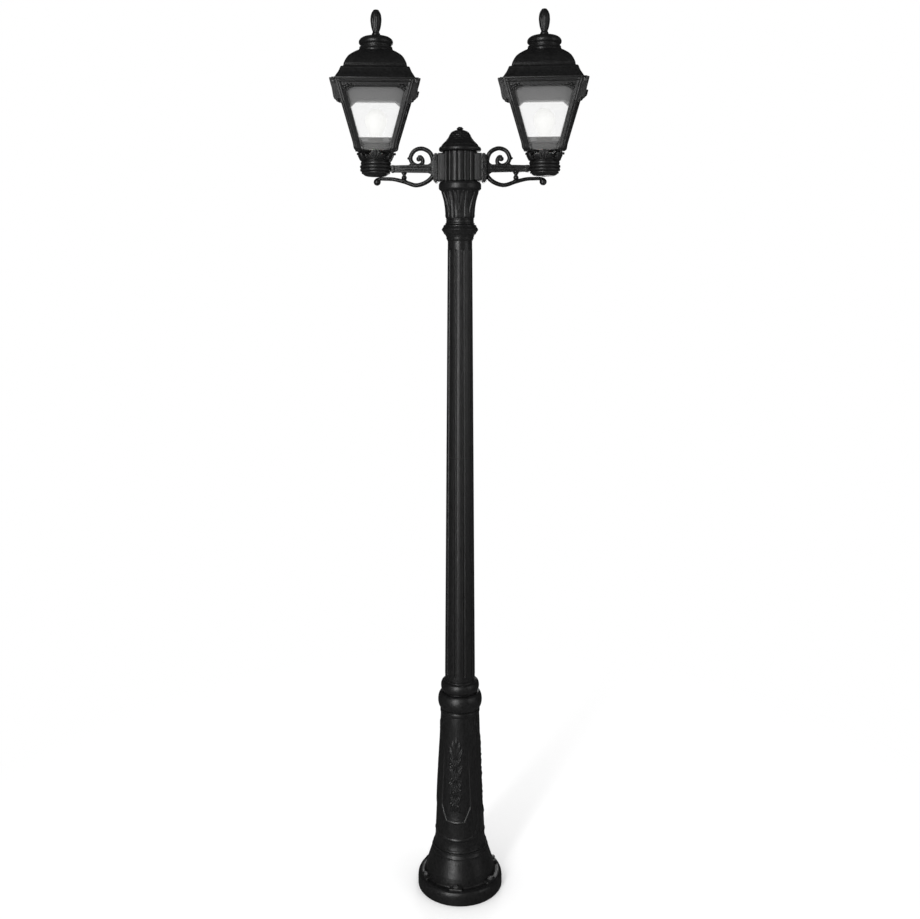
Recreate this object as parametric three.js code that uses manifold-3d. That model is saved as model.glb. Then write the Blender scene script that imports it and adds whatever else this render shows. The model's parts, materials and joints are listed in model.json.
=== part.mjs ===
// Twin-lantern garden lamp post in black cast work: a bell-footed, tapering column with a
// fluted shaft, a capital and a fluted hub that carries two scrolled arms, each with a square
// four-sided lantern. Units are millimetres, +Z is up, the front faces -Y, and the origin is
// the centre of the foot on the ground.
import * as THREE from "three";
import { mergeVertices } from "three/addons/utils/BufferGeometryUtils.js";
import Module from "manifold-3d";

// ---------------------------------------------------------------- driving dimensions
const GAP = 0.3; // working gap between two pieces that touch

const FOOT_R = 116.5; // rim of the foot
const FOOT_TOP = 115; // top of the bell-shaped foot
const PLATE_R = 109.5; // steel foundation plate inside the foot
const PLATE_THICK = 8;
const ANCHOR_R = 101.5; // pitch radius of the anchor bolts
const LUG_TOP = 41;
const LUGS = 6;
const LUG_TURN = (-5 * Math.PI) / 180; // the front lug stands this far round from -Y

const COLUMN_BOTTOM_R = 68.6;
const COLUMN_TOP_R = 53.6;
const COLUMN_TOP = 487.7;
const COLLAR_TOP = 567;

const SHAFT_BOTTOM_R = 41.9;
const SHAFT_TOP_R = 34.2;
const SHAFT_SEAM = 1188; // joint between the two shaft sleeves
const SHAFT_TOP = 1790;
const SHAFT_WALL = 4.5;
const FLUTES = 10; // grooves round the shaft
const FLUTE_R = 3.2;

const CAPITAL_BOTTOM = 1850;
const CAPITAL_TOP = 1955;
const TUBE_R = 24; // steel core tube, outside
const TUBE_BORE = 20;
const TUBE_TOP = 1990;

const HUB_R = 49; // fluted hub, over its ribs
const HUB_BORE = 40;
const HUB_TOP = 2040.7;
const HUB_RIBS = 16;
const PAD_X = 61; // flat faces that the arms bolt to

const ARM_REACH = 236; // post axis to lantern axis
const BAR_Z = 1992; // middle of the arm's straight bar, and of the cable bore
const ARM_BOLT_Z = [1968, 2022];
const BAND_R = 4.8; // half-thickness of the scrolled bands
const CUP_R = 43;
const CUP_BOTTOM = 1971;
const CUP_TOP = 2014;

const CAGE_BOTTOM = 2036;
const CAGE_TOP = 2226;
const FLOOR_TOP = 2042.7; // top of the spoked floor of the cage
const HOLDER_R = 19.5; // lamp holder, where it passes through the floor
const HOLDER_TOP = 2078;
const CAGE_TOP_HALF = 109.8; // half-width over the cage posts at their top
const CAGE_SLOPE = 0.2855; // how far the sides lean out per unit of height
const ROOF_BOTTOM = 2228;
const ROOF_HALF = 109.5;
const ROOF_NECK = 2334; // top of the round ring that closes the roof
const HINGE_Y = 117.1;
const KNUCKLE_R = 4.5;
const HINGE_Z = 2229;
const LAMP_TOP = 2440;
const EAR_OUT = 122.6; // outer edge of the cage's corner ears
const EAR_TOP = 2229;
const LOCK_X = 112.4; // screws that lock the roof to the front ears
const LOCK_Z = 2219;
const TAB_OUT = 118; // outer edge of the roof's locking tabs
const TOE_IN = (4.8 * Math.PI) / 180; // each lantern is turned this far towards the middle

const SIDES = 20; // flats round a turned piece, unless it says otherwise

// ---------------------------------------------------------------- finishes
const finish = (color, roughness, metalness) => ({ color, roughness, metalness });
const BLACK = finish(0x1c1d1e, 0.5, 0.05);
const OPAL = finish(0xe9e9e6, 0.35, 0);
const STEEL = finish(0x9b9d9e, 0.4, 0.9);
const BRASS = finish(0xb08d4a, 0.35, 0.9);
const CERAMIC = finish(0xeeece4, 0.4, 0);
const RUBBER = finish(0x2a2a2a, 0.85, 0);
const GLASS = finish(0xf4f1e8, 0.25, 0);
const PLASTIC = finish(0xd8d5c8, 0.5, 0);

// ---------------------------------------------------------------- solids
const wasm = await Module();
wasm.setup();

function toSolid(geometry) {
  const bare = geometry.clone();
  bare.deleteAttribute("normal");
  bare.deleteAttribute("uv");
  const merged = mergeVertices(bare, 1e-3);
  return new wasm.Manifold(
    new wasm.Mesh({
      numProp: 3,
      vertProperties: merged.attributes.position.array,
      triVerts: new Uint32Array(merged.index.array),
    }),
  );
}

function toGeometry(solid) {
  const { vertProperties, triVerts } = solid.getMesh();
  const geometry = new THREE.BufferGeometry();
  geometry.setAttribute("position", new THREE.BufferAttribute(vertProperties, 3));
  geometry.setIndex(new THREE.BufferAttribute(triVerts, 1));
  return geometry;
}

const join = (...pieces) =>
  toGeometry(pieces.map(toSolid).reduce((whole, piece) => whole.add(piece)));

const cut = (body, ...tools) =>
  toGeometry(tools.map(toSolid).reduce((left, tool) => left.subtract(tool), toSolid(body)));

// ---------------------------------------------------------------- shapes
// A body turned about Z from [radius, height] pairs, the outside walked upwards.
const turned = (outline, sides = SIDES) =>
  new THREE.LatheGeometry(
    outline.map(([r, z]) => new THREE.Vector2(r, z)),
    sides,
  ).rotateX(Math.PI / 2);

// The same with a closed outline: a ring, a sleeve or a shell.
const ring = (outline, sides = SIDES) => turned([...outline, outline[0]], sides);

// A four-sided ring from [half-width, height] pairs, its faces square to X and Y.
const squareRing = (outline) =>
  new THREE.LatheGeometry(
    [...outline, outline[0]].map(([half, z]) => new THREE.Vector2(half * Math.SQRT2, z)),
    4,
    Math.PI / 4,
  ).rotateX(Math.PI / 2);

// A half-round bead that swells out of radius r between two heights.
function bead(r, low, high, swell, steps = 4) {
  const middle = (low + high) / 2;
  const half = (high - low) / 2;
  return Array.from({ length: steps + 1 }, (_, i) => {
    const turn = (Math.PI * i) / steps;
    return [r + swell * Math.sin(turn), middle - half * Math.cos(turn)];
  });
}

const box = (x0, x1, y0, y1, z0, z1) =>
  new THREE.BoxGeometry(x1 - x0, y1 - y0, z1 - z0).translate(
    (x0 + x1) / 2,
    (y0 + y1) / 2,
    (z0 + z1) / 2,
  );

// Round bars along each axis, between two ends.
const barZ = (r, z0, z1, x = 0, y = 0, sides = 16) =>
  new THREE.CylinderGeometry(r, r, z1 - z0, sides)
    .rotateX(Math.PI / 2)
    .translate(x, y, (z0 + z1) / 2);
const barX = (r, x0, x1, y, z, sides = 16) =>
  new THREE.CylinderGeometry(r, r, x1 - x0, sides)
    .rotateZ(Math.PI / 2)
    .translate((x0 + x1) / 2, y, z);
const barY = (r, y0, y1, x, z, sides = 16) =>
  new THREE.CylinderGeometry(r, r, y1 - y0, sides).translate(x, (y0 + y1) / 2, z);
const ball = (r, x, y, z) => new THREE.SphereGeometry(r, 8, 6).translate(x, y, z);

// A flat slab from an [x, z] outline, centred on y = 0.
function slab(outline, thickness) {
  const shape = new THREE.Shape(outline.map(([x, z]) => new THREE.Vector2(x, z)));
  return new THREE.ExtrudeGeometry(shape, { depth: thickness, bevelEnabled: false })
    .translate(0, 0, -thickness / 2)
    .rotateX(Math.PI / 2);
}

// A round rod along a smooth curve through [x, y, z] points.
function rodAlong(points, r, steps) {
  const curve = new THREE.CatmullRomCurve3(points.map((p) => new THREE.Vector3(...p)));
  const section = new THREE.Shape().absarc(0, 0, r, 0, 2 * Math.PI);
  return new THREE.ExtrudeGeometry(section, {
    steps,
    extrudePath: curve,
    curveSegments: 3,
    bevelEnabled: false,
  });
}

const lean = (kx, ky, z0) =>
  new THREE.Matrix4().set(1, 0, kx, -kx * z0, 0, 1, ky, -ky * z0, 0, 0, 1, 0, 0, 0, 0, 1);

// A copy reflected across x = 0 or y = 0, with its faces turned to point out again.
function mirrored(geometry, sideX, sideY) {
  const copy = geometry.clone();
  copy.applyMatrix4(new THREE.Matrix4().makeScale(sideX, sideY, 1));
  if (sideX * sideY > 0) return copy;
  const flat = copy.index ? copy.toNonIndexed() : copy;
  const corners = flat.attributes.position;
  for (let i = 0; i < corners.count; i += 3) {
    const [x, y, z] = [corners.getX(i), corners.getY(i), corners.getZ(i)];
    corners.setXYZ(i, corners.getX(i + 1), corners.getY(i + 1), corners.getZ(i + 1));
    corners.setXYZ(i + 1, x, y, z);
  }
  return flat;
}

const quarters = [0, 1, 2, 3].map((i) => (i * Math.PI) / 2);
const lugTurns = Array.from(
  { length: LUGS },
  (_, i) => LUG_TURN - Math.PI / 2 + (i * 2 * Math.PI) / LUGS,
);

const lampPost = new THREE.Group();

function add(group, name, look, geometry) {
  const mesh = new THREE.Mesh(geometry, new THREE.MeshStandardMaterial(look));
  mesh.name = name;
  group.add(mesh);
  return mesh;
}

// ---------------------------------------------------------------- foot and column
function foundationPlate() {
  const holes = lugTurns.map((a) =>
    barZ(5, -1, PLATE_THICK + 1, ANCHOR_R, 0, 10).rotateZ(a),
  );
  const disc = ring([
    [TUBE_BORE, 0], [PLATE_R, 0], [PLATE_R, PLATE_THICK], [TUBE_BORE, PLATE_THICK],
  ]);
  return cut(disc, ...holes);
}

function foot() {
  const skin = ring(
    [
      [110.5, 0], [FOOT_R, 0], [FOOT_R, 20], [115.5, 28], [112, 33], [105, 35], [95.5, 35.5],
      [94.5, 45], [92.5, 57], [81.8, 88.6], [76.6, 104], [73.6, FOOT_TOP],
      [65, FOOT_TOP], [81, 75], [87, 45], [88, 24], [110.5, 18],
    ],
    28,
  );
  const lugs = lugTurns.map((a) => box(89, 108.5, -18, 18, 26, LUG_TOP).rotateZ(a));
  const holes = lugTurns.map((a) => barZ(5, 10, LUG_TOP + 1, ANCHOR_R, 0, 10).rotateZ(a));
  return cut(join(skin, ...lugs), ...holes);
}

function anchorBolt(angle) {
  const shank = barZ(4.5, 0.5, LUG_TOP + 1, 0, 0, 10);
  const head = barZ(6.1, LUG_TOP + GAP, LUG_TOP + 5, 0, 0, 6);
  return join(shank, head).translate(ANCHOR_R, 0, 0).rotateZ(angle);
}

const column = () =>
  ring(
    [
      [73, FOOT_TOP + GAP], [70.6, 121.5], [COLUMN_BOTTOM_R, 134], [66.6, 183], [62, 295],
      [57, 407], [COLUMN_TOP_R, 475], [COLUMN_TOP_R + 1, 477], [COLUMN_TOP_R + 1, 485],
      [COLUMN_TOP_R - 0.6, COLUMN_TOP], [46, COLUMN_TOP], [56, 295], [64, FOOT_TOP + GAP],
    ],
    24,
  );

const collar = () =>
  ring(
    [
      [38, COLUMN_TOP + GAP], ...bead(51, COLUMN_TOP + GAP, 533, 10.3, 6),
      ...bead(46.5, 535, 564, 6.8, 4), [44, COLLAR_TOP], [38, COLLAR_TOP],
    ],
    24,
  );

// ---------------------------------------------------------------- fluted shaft
const SHAFT_TAPER = (SHAFT_BOTTOM_R - SHAFT_TOP_R) / (SHAFT_TOP - COLLAR_TOP);
const shaftRadius = (z) => SHAFT_BOTTOM_R - SHAFT_TAPER * (z - COLLAR_TOP);

// A groove cutter with round ends that follows the taper of the shaft.
function fluteCutter(low, high) {
  const length = high - low - 2 * FLUTE_R;
  return new THREE.CapsuleGeometry(FLUTE_R, length, 2, 8)
    .rotateX(Math.PI / 2)
    .rotateY(-Math.atan(SHAFT_TAPER))
    .translate(shaftRadius((low + high) / 2) + 0.9, 0, (low + high) / 2);
}

function shaftSleeve(bottom, top, fluteLow, fluteHigh) {
  const sleeve = ring([
    [shaftRadius(bottom), bottom], [shaftRadius(top), top],
    [shaftRadius(top) - SHAFT_WALL, top], [shaftRadius(bottom) - SHAFT_WALL, bottom],
  ], 3 * FLUTES);
  const flutes = Array.from({ length: FLUTES }, (_, i) =>
    fluteCutter(fluteLow, fluteHigh).rotateZ(((i + 0.5) / FLUTES) * 2 * Math.PI - Math.PI / 2),
  );
  return cut(sleeve, ...flutes);
}

const shaftCollar = () =>
  ring([
    [26, SHAFT_TOP + GAP], [35.2, SHAFT_TOP + GAP], [39.8, 1806], [45.8, 1813],
    [51.8, 1822], [44.4, 1835], [38.9, 1841], [38.6, CAPITAL_BOTTOM - GAP],
    [26, CAPITAL_BOTTOM - GAP],
  ]);

const capital = () =>
  ring([
    [26, CAPITAL_BOTTOM], [40, CAPITAL_BOTTOM], [39.3, 1866], [40.7, 1885], [43.4, 1902],
    [48, 1919], [52.6, 1930], [59.5, 1936], [59.5, CAPITAL_TOP], [26, CAPITAL_TOP],
  ]);

// ---------------------------------------------------------------- hub
// The outline of the hub in plan: round ribs with narrow hollows between them.
function ribbedOutline(r, depth) {
  const steps = 3;
  const points = Array.from({ length: HUB_RIBS * steps }, (_, i) => {
    const around = (i / (HUB_RIBS * steps)) * 2 * Math.PI;
    const swell = Math.abs(Math.cos((around * HUB_RIBS) / 2));
    const radius = r - depth * (1 - Math.sqrt(swell));
    return new THREE.Vector2(radius * Math.cos(around), radius * Math.sin(around));
  });
  return new THREE.Shape(points);
}

function hub() {
  const low = CAPITAL_TOP + GAP;
  const wall = new THREE.ExtrudeGeometry(ribbedOutline(HUB_R, 4.5), {
    depth: HUB_TOP - low,
    bevelEnabled: false,
  }).translate(0, 0, low);
  const pads = [0, Math.PI].map((a) => box(36, PAD_X, -25, 25, 1958, 2035).rotateZ(a));
  const hollow = barZ(HUB_BORE, low + 5, HUB_TOP + 1, 0, 0, 24);
  const shelf = box(-13, 13, -HUB_BORE - 2, HUB_BORE + 2, 1996, 2000);
  const boss = box(-7, 7, TUBE_R + 2, HUB_BORE + 2, low + 4, 1974);
  const shell = join(cut(join(wall, ...pads), hollow), shelf, boss);
  const armBoltHoles = [0, Math.PI].flatMap((a) =>
    ARM_BOLT_Z.map((z) => barX(4.2, 30, 70, 0, z, 12).rotateZ(a)),
  );
  return cut(
    shell,
    barZ(TUBE_R + 0.8, low - 1, 1990, 0, 0, 24),
    barZ(6, 1990, 2005, 0, 0, 12),
    barX(6, -70, 70, 0, BAR_Z, 8),
    barY(3.3, 20, 60, 0, 1967, 8),
    ...armBoltHoles,
  );
}

const hubLockScrew = () =>
  join(barY(3, TUBE_R + 0.6, 50, 0, 1967, 12), barY(5.5, 49.5, 54, 0, 1967, 6));

const hubCap = () =>
  ring([
    [44, HUB_TOP + GAP], [57.4, HUB_TOP + GAP], [59.5, 2047], [56, 2054.5],
    [47.9, 2062], [39.5, 2070], [32.9, 2079], [28.6, 2088], [22.5, 2095.5],
    [4.4, 2101.5], [4.4, 2096], [18, 2092], [30, 2072], [44, 2052],
  ]);

const capKnob = () =>
  turned([
    [0, 2080], [4, 2080], [4, 2102], [7, 2102], [9.6, 2104.5],
    [8.6, 2107.6], [5, 2109.6], [0, 2110.2],
  ], 12);

const terminalBlock = () => box(-19, 19, -9, 9, 2000.3, 2014);

// ---------------------------------------------------------------- scrolled arm
// Drawn for the +X side. The other arm is the same casting turned half round the post.
const ribbon = (outline, r, steps) => rodAlong(outline.map(([x, z]) => [x, 0, z]), r, steps);

function arm() {
  const plate = slab([
    [PAD_X + GAP, 1955], [67, 1953], [74, 1960], [74, 2029], [70, 2035], [PAD_X + GAP, 2033],
  ], 44);
  const bar = slab([[70, 1982.5], [200, 1984.5], [200, 2000], [70, 2004]], 17);
  const volute = ribbon([
    [77, 2002], [78.5, 2022], [87, 2040], [108, 2050], [129, 2043], [139, 2024],
    [133, 2008], [119, 2002], [106, 2008], [104.5, 2019], [111, 2026.5],
  ], BAND_R, 24);
  const bow = ribbon([
    [74, 1986], [79, 1970], [95, 1956], [122, 1947], [152, 1956], [180, 1964.5],
    [208, 1966], [226, 1964.5], [231, 1958],
  ], BAND_R - 0.5, 20);
  const link = barZ(3, 1955, 1986, 156, 0, 8);
  const bosses = [ball(6.5, 115, 0, 2021), ball(7.6, 231, 0, 1955.5), ball(6.5, 156, 0, 1968)];
  const nib = ball(3.6, 143.5, 0, 2022);
  const casting = join(plate, bar, volute, bow, link, nib, ...bosses);
  const boltHoles = ARM_BOLT_Z.map((z) => barX(4.2, 50, 71.5, 0, z, 12));
  const seat = barZ(CUP_R + 2.3, CUP_BOTTOM - GAP, CUP_TOP, ARM_REACH, 0, 24);
  return cut(casting, seat, barX(5, 50, 210, 0, BAR_Z, 12), ...boltHoles);
}

const armBolt = (z) => join(barX(6.5, 33, 38.6, 0, z, 6), barX(3.8, 38, 71, 0, z, 12));

function cup() {
  const bowl = ring([
    [6.4, CUP_BOTTOM], [22, CUP_BOTTOM], [33, 1976], [40, 1984], [CUP_R - 1, 1986.5],
    ...bead(CUP_R, 1987.5, 1995, 1.6, 2), ...bead(CUP_R, 1996, 2003.5, 1.6, 2),
    ...bead(CUP_R - 0.6, 2004.5, 2011.5, 1.6, 2), [41.5, CUP_TOP],
    [36, CUP_TOP], [36, 1988], [28, 1979], [6.4, 1979],
  ]);
  return cut(bowl, barX(6, -60, -20, 0, BAR_Z, 12));
}

// Hollow threaded stem that ties the cup to the lantern, slotted where the cable enters.
function stem() {
  const tube = ring([
    [4.2, 1972], [6, 1972], [6, 1979.3], [10, 1979.3], [10, 1983], [6, 1983], [6, 2022.3],
    [11, 2022.3], [11, 2027], [6, 2027], [6, 2041], [4.2, 2041],
  ], 12);
  return cut(tube, box(-8, 0, -4, 4, 1984.5, 2004));
}

const lampCable = () =>
  rodAlong([
    [ARM_REACH, 0, 2038], [ARM_REACH, 0, 2020], [ARM_REACH - 0.6, 0, 2004],
    [ARM_REACH - 10, 0, 1993.5], [205, 0, BAR_Z],
    [140, 0, BAR_Z], [60, 0, BAR_Z], [40, 0, BAR_Z], [30, 0, 1998], [22, 0, 2007],
  ], 2.3, 20);

// ---------------------------------------------------------------- lantern
const cageHalf = (z) => CAGE_TOP_HALF - CAGE_SLOPE * (CAGE_TOP - z);

function crown() {
  const bowl = ring([
    [6.6, CUP_TOP + GAP], [42, CUP_TOP + GAP], [43, 2018], [47, 2024], [48.6, 2030],
    [46.5, CAGE_BOTTOM - GAP], [42.5, CAGE_BOTTOM - GAP], [43.5, 2029], [38, 2022], [6.6, 2022],
  ]);
  const feet = quarters.map((a) =>
    box(44, 72, -8, 8, 2029, CAGE_BOTTOM - GAP).rotateZ(a + Math.PI / 4),
  );
  const leaf = [
    [-14, 2022], [14, 2022], [17, 2030], [9, 2036], [6, 2042], [-6, 2042], [-9, 2036], [-17, 2030],
  ];
  const leaves = quarters.map((a) => slab(leaf, 4).translate(0, -48.8, 0).rotateZ(a));
  return join(bowl, ...feet, ...leaves);
}

// One corner post of the cage: an angle section with a bevelled outer edge, leaning out.
function cagePost(angle) {
  const leg = 22;
  const thick = 7;
  const half = cageHalf(CAGE_BOTTOM);
  const outline = [
    [half - leg, -half], [half - 4, -half], [half, -half + 4], [half, -half + leg],
    [half - thick, -half + leg], [half - thick, -half + thick], [half - leg, -half + thick],
  ];
  const shape = new THREE.Shape(outline.map(([x, y]) => new THREE.Vector2(x, y)));
  return new THREE.ExtrudeGeometry(shape, { depth: CAGE_TOP - CAGE_BOTTOM, bevelEnabled: false })
    .translate(0, 0, CAGE_BOTTOM)
    .applyMatrix4(lean(CAGE_SLOPE, -CAGE_SLOPE, CAGE_BOTTOM))
    .rotateZ(angle);
}

// A corner ear, for the front right corner: a plate that stands out past the roof edge.
// The rear ears are the upper part of the front ones.
function ear(foot) {
  const outline = [
    ...foot, [116, 2202], [119.4, 2214], [EAR_OUT, 2226], [EAR_OUT, EAR_TOP],
    [ROOF_HALF + 0.8, EAR_TOP], [ROOF_HALF + 0.8, 2225.5], [98, 2225.5],
  ];
  const faceY = -cageHalf(2176);
  return slab(outline, 7)
    .translate(0, faceY + 3.5, 0)
    .applyMatrix4(lean(0, -CAGE_SLOPE, 2176));
}

function cage() {
  const spokes = quarters.map((a) =>
    box(24, 72, -7, 7, CAGE_BOTTOM, FLOOR_TOP).rotateZ(a + Math.PI / 4),
  );
  const floor = ring([
    [HOLDER_R + 0.8, CAGE_BOTTOM], [28, CAGE_BOTTOM], [28, FLOOR_TOP], [HOLDER_R + 0.8, FLOOR_TOP],
  ]);
  const rail = squareRing([
    [104.9, 2209], [107.7, 2216], [CAGE_TOP_HALF, CAGE_TOP], [93, CAGE_TOP], [88, 2209],
  ]);
  const posts = quarters.map(cagePost);
  const frontFoot = [[86, 2168], [92, 2164.6], [98.5, 2166], [105, 2171.4], [110.5, 2175], [112.6, 2183]];
  const rearFoot = [[94, 2198], [115, 2198]];
  const ears = [1, -1].flatMap((side) =>
    [mirrored(ear(frontFoot), side, 1), mirrored(ear(rearFoot), side, -1)],
  );
  const knuckles = [-22, 22].flatMap((x) => [
    barX(KNUCKLE_R, x - 5.7, x + 5.7, HINGE_Y, HINGE_Z, 16),
    box(x - 5.7, x + 5.7, 104, HINGE_Y, 2217, 2225),
    box(x - 5.7, x + 5.7, HINGE_Y - 4.2, HINGE_Y + 3, 2220, HINGE_Z),
  ]);
  const slots = [-1, 1].map((side) =>
    box(side * LOCK_X - 2.9, side * LOCK_X + 2.9, -115, -98, LOCK_Z - 3.2, 2237),
  );
  const pinHole = barX(2.8, -40, 40, HINGE_Y, HINGE_Z, 16);
  return cut(join(floor, ...spokes, rail, ...posts, ...ears, ...knuckles), ...slots, pinHole);
}

const diffuser = () =>
  squareRing([
    [38, 2043], [41, 2043], [41, 2057], [43.5, 2058.5], [43.5, 2070], [49, 2074],
    [cageHalf(2205) - 15, 2205], [cageHalf(2205) - 15, 2208.5], [cageHalf(2205) - 18, 2208.5],
    [cageHalf(2205) - 18, 2205], [46, 2076], [40.5, 2071], [40.5, 2060], [38, 2058],
  ]);

const gasket = () =>
  squareRing([
    [96, CAGE_TOP + GAP], [106, CAGE_TOP + GAP], [106, ROOF_BOTTOM - GAP], [96, ROOF_BOTTOM - GAP],
  ]);

function roof() {
  const skin = squareRing([
    [ROOF_HALF, ROOF_BOTTOM], [ROOF_HALF, 2231.5], [107.4, 2235.5], [103.6, 2241], [98.6, 2250],
    [95, 2259], [92.6, 2263.6], [87.6, 2264.8], [86.8, 2267], [85.4, 2275], [82, 2284],
    [78.8, 2291], [74.4, 2298.4], [68, 2305.6], [59.6, 2313], [51.6, 2319.6], [33, 2319.6], [33, 2315],
    [56, 2311], [71, 2294], [79.6, 2272], [81.6, 2261], [90, 2257], [99.4, 2240], [105, ROOF_BOTTOM],
  ]);
  const neck = ring([[30, 2313], [50, 2313], [50, 2326], [46.6, 2331], [46.6, ROOF_NECK], [30, ROOF_NECK]]);
  const bridge = box(-34, 34, -5, 5, 2320, 2326);
  const tabs = [-1, 1].map((side) =>
    mirrored(box(105.4, TAB_OUT, -96, -89, ROOF_BOTTOM + GAP, 2233.5), side, 1),
  );
  const drops = [-1, 1].map((side) =>
    mirrored(box(ROOF_HALF + 0.8, TAB_OUT, -96, -89, 2213, 2230), side, 1),
  );
  const knuckle = [
    barX(KNUCKLE_R, -16, 16, HINGE_Y, HINGE_Z, 16),
    box(-16, 16, 106, HINGE_Y, ROOF_BOTTOM + 0.6, 2233.5),
  ];
  return cut(
    join(skin, neck, bridge, ...tabs, ...drops, ...knuckle),
    barX(2.8, -40, 40, HINGE_Y, HINGE_Z, 16),
    barZ(4.3, 2300, 2340, 0, 0, 12),
    ...[-1, 1].map((side) => barY(2.7, -100, -84, side * LOCK_X, LOCK_Z, 12)),
  );
}

const hingePin = () =>
  join(barX(2.4, -29, 30, HINGE_Y, HINGE_Z, 12), barX(4, -32, -28.5, HINGE_Y, HINGE_Z, 12));

const roofScrew = (side) =>
  join(
    barY(2.3, -111, -87, side * LOCK_X, LOCK_Z, 12),
    barY(4.6, -113.6, -109.9, side * LOCK_X, LOCK_Z, 12),
  );

const chimneyCap = () =>
  ring([
    [38, ROOF_NECK + GAP], [42, ROOF_NECK + GAP], [42, 2339], [47.7, 2344],
    [46, 2350], [34.6, 2360], [12, 2366], [4.4, 2366], [4.4, 2362], [30, 2356], [38, 2346],
  ]);

const finial = () =>
  turned([
    [0, 2318], [4, 2318], [4, 2366.3], [11.8, 2368], [11.8, 2374],
    [9.6, 2378], [14.2, 2400], [15.8, 2413], [15.2, 2424], [11, 2435], [0, LAMP_TOP],
  ], 16);

const lampHolder = () =>
  ring([
    [6.4, 2029], [HOLDER_R, 2029], [HOLDER_R, FLOOR_TOP + GAP], [23.5, FLOOR_TOP + GAP],
    [23.5, 2046], [20, 2047], [20, 2072], [21.5, 2074], [21.5, HOLDER_TOP], [14.4, HOLDER_TOP],
    [14.4, 2046], [6.4, 2044],
  ], 16);

const bulbBase = () =>
  turned([
    [0, 2046.5], [5, 2046.5], [13.6, 2053], [13.6, HOLDER_TOP], [0, HOLDER_TOP],
  ], 16);

const bulbGlass = () =>
  turned([
    [0, HOLDER_TOP + GAP], [14, HOLDER_TOP + GAP], [15, 2084], [26.5, 2112], [30, 2128],
    [28, 2144], [16, 2158], [0, 2161.5],
  ], 16);

// ---------------------------------------------------------------- assembly
add(lampPost, "anchor_plate", STEEL, foundationPlate());
add(lampPost, "core_tube", STEEL, ring([
  [TUBE_BORE, PLATE_THICK + GAP], [TUBE_R, PLATE_THICK + GAP], [TUBE_R, TUBE_TOP], [TUBE_BORE, TUBE_TOP],
], 24));
lugTurns.forEach((a, i) => add(lampPost, `anchor_bolt_${i + 1}`, STEEL, anchorBolt(a)));
add(lampPost, "foot_bell", BLACK, foot());
add(lampPost, "base_column", BLACK, column());
add(lampPost, "column_collar", BLACK, collar());
add(lampPost, "lower_shaft", BLACK, shaftSleeve(COLLAR_TOP + GAP, SHAFT_SEAM, 582, SHAFT_SEAM + 20));
add(lampPost, "upper_shaft", BLACK, shaftSleeve(SHAFT_SEAM + GAP, SHAFT_TOP, SHAFT_SEAM - 20, 1766));
add(lampPost, "shaft_collar", BLACK, shaftCollar());
add(lampPost, "capital", BLACK, capital());
add(lampPost, "supply_cable", RUBBER, barZ(4.5, 1, 1999.7, 0, 0, 10));

add(lampPost, "hub", BLACK, hub());
add(lampPost, "hub_cap", BLACK, hubCap());
add(lampPost, "hub_cap_knob", BLACK, capKnob());
add(lampPost, "hub_lock_screw", STEEL, hubLockScrew());
add(lampPost, "terminal_block", PLASTIC, terminalBlock());

for (const [side, sign] of [["left", -1], ["right", 1]]) {
  const bracket = new THREE.Group();
  bracket.rotation.z = sign > 0 ? 0 : Math.PI;
  add(bracket, `${side}_arm`, BLACK, arm());
  add(bracket, `${side}_arm_bolt_lower`, STEEL, armBolt(ARM_BOLT_Z[0]));
  add(bracket, `${side}_arm_bolt_upper`, STEEL, armBolt(ARM_BOLT_Z[1]));
  add(bracket, `${side}_cup`, BLACK, cup()).position.x = ARM_REACH;
  add(bracket, `${side}_stem`, BRASS, stem()).position.x = ARM_REACH;
  add(bracket, `${side}_lamp_cable`, RUBBER, lampCable());
  lampPost.add(bracket);

  const lantern = new THREE.Group();
  lantern.position.x = sign * ARM_REACH;
  lantern.rotation.z = -sign * TOE_IN;
  add(lantern, `${side}_crown`, BLACK, crown());
  add(lantern, `${side}_cage`, BLACK, cage());
  add(lantern, `${side}_diffuser`, OPAL, diffuser());
  add(lantern, `${side}_gasket`, RUBBER, gasket());
  add(lantern, `${side}_lamp_holder`, CERAMIC, lampHolder());
  add(lantern, `${side}_hinge_pin`, STEEL, hingePin());
  add(lantern, `${side}_bulb_base`, STEEL, bulbBase());
  add(lantern, `${side}_bulb_glass`, GLASS, bulbGlass());
  add(lantern, `${side}_roof`, BLACK, roof());
  add(lantern, `${side}_roof_screw_left`, STEEL, roofScrew(-1));
  add(lantern, `${side}_roof_screw_right`, STEEL, roofScrew(1));
  add(lantern, `${side}_chimney_cap`, BLACK, chimneyCap());
  add(lantern, `${side}_finial`, BLACK, finial());
  lampPost.add(lantern);
}

export default lampPost;
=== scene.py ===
import json
from math import atan2, ceil, copysign, cos, exp, hypot, log, pi, radians, sin, sqrt

import bmesh
import bpy
import numpy as np
from mathutils import Matrix, Vector


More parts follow.
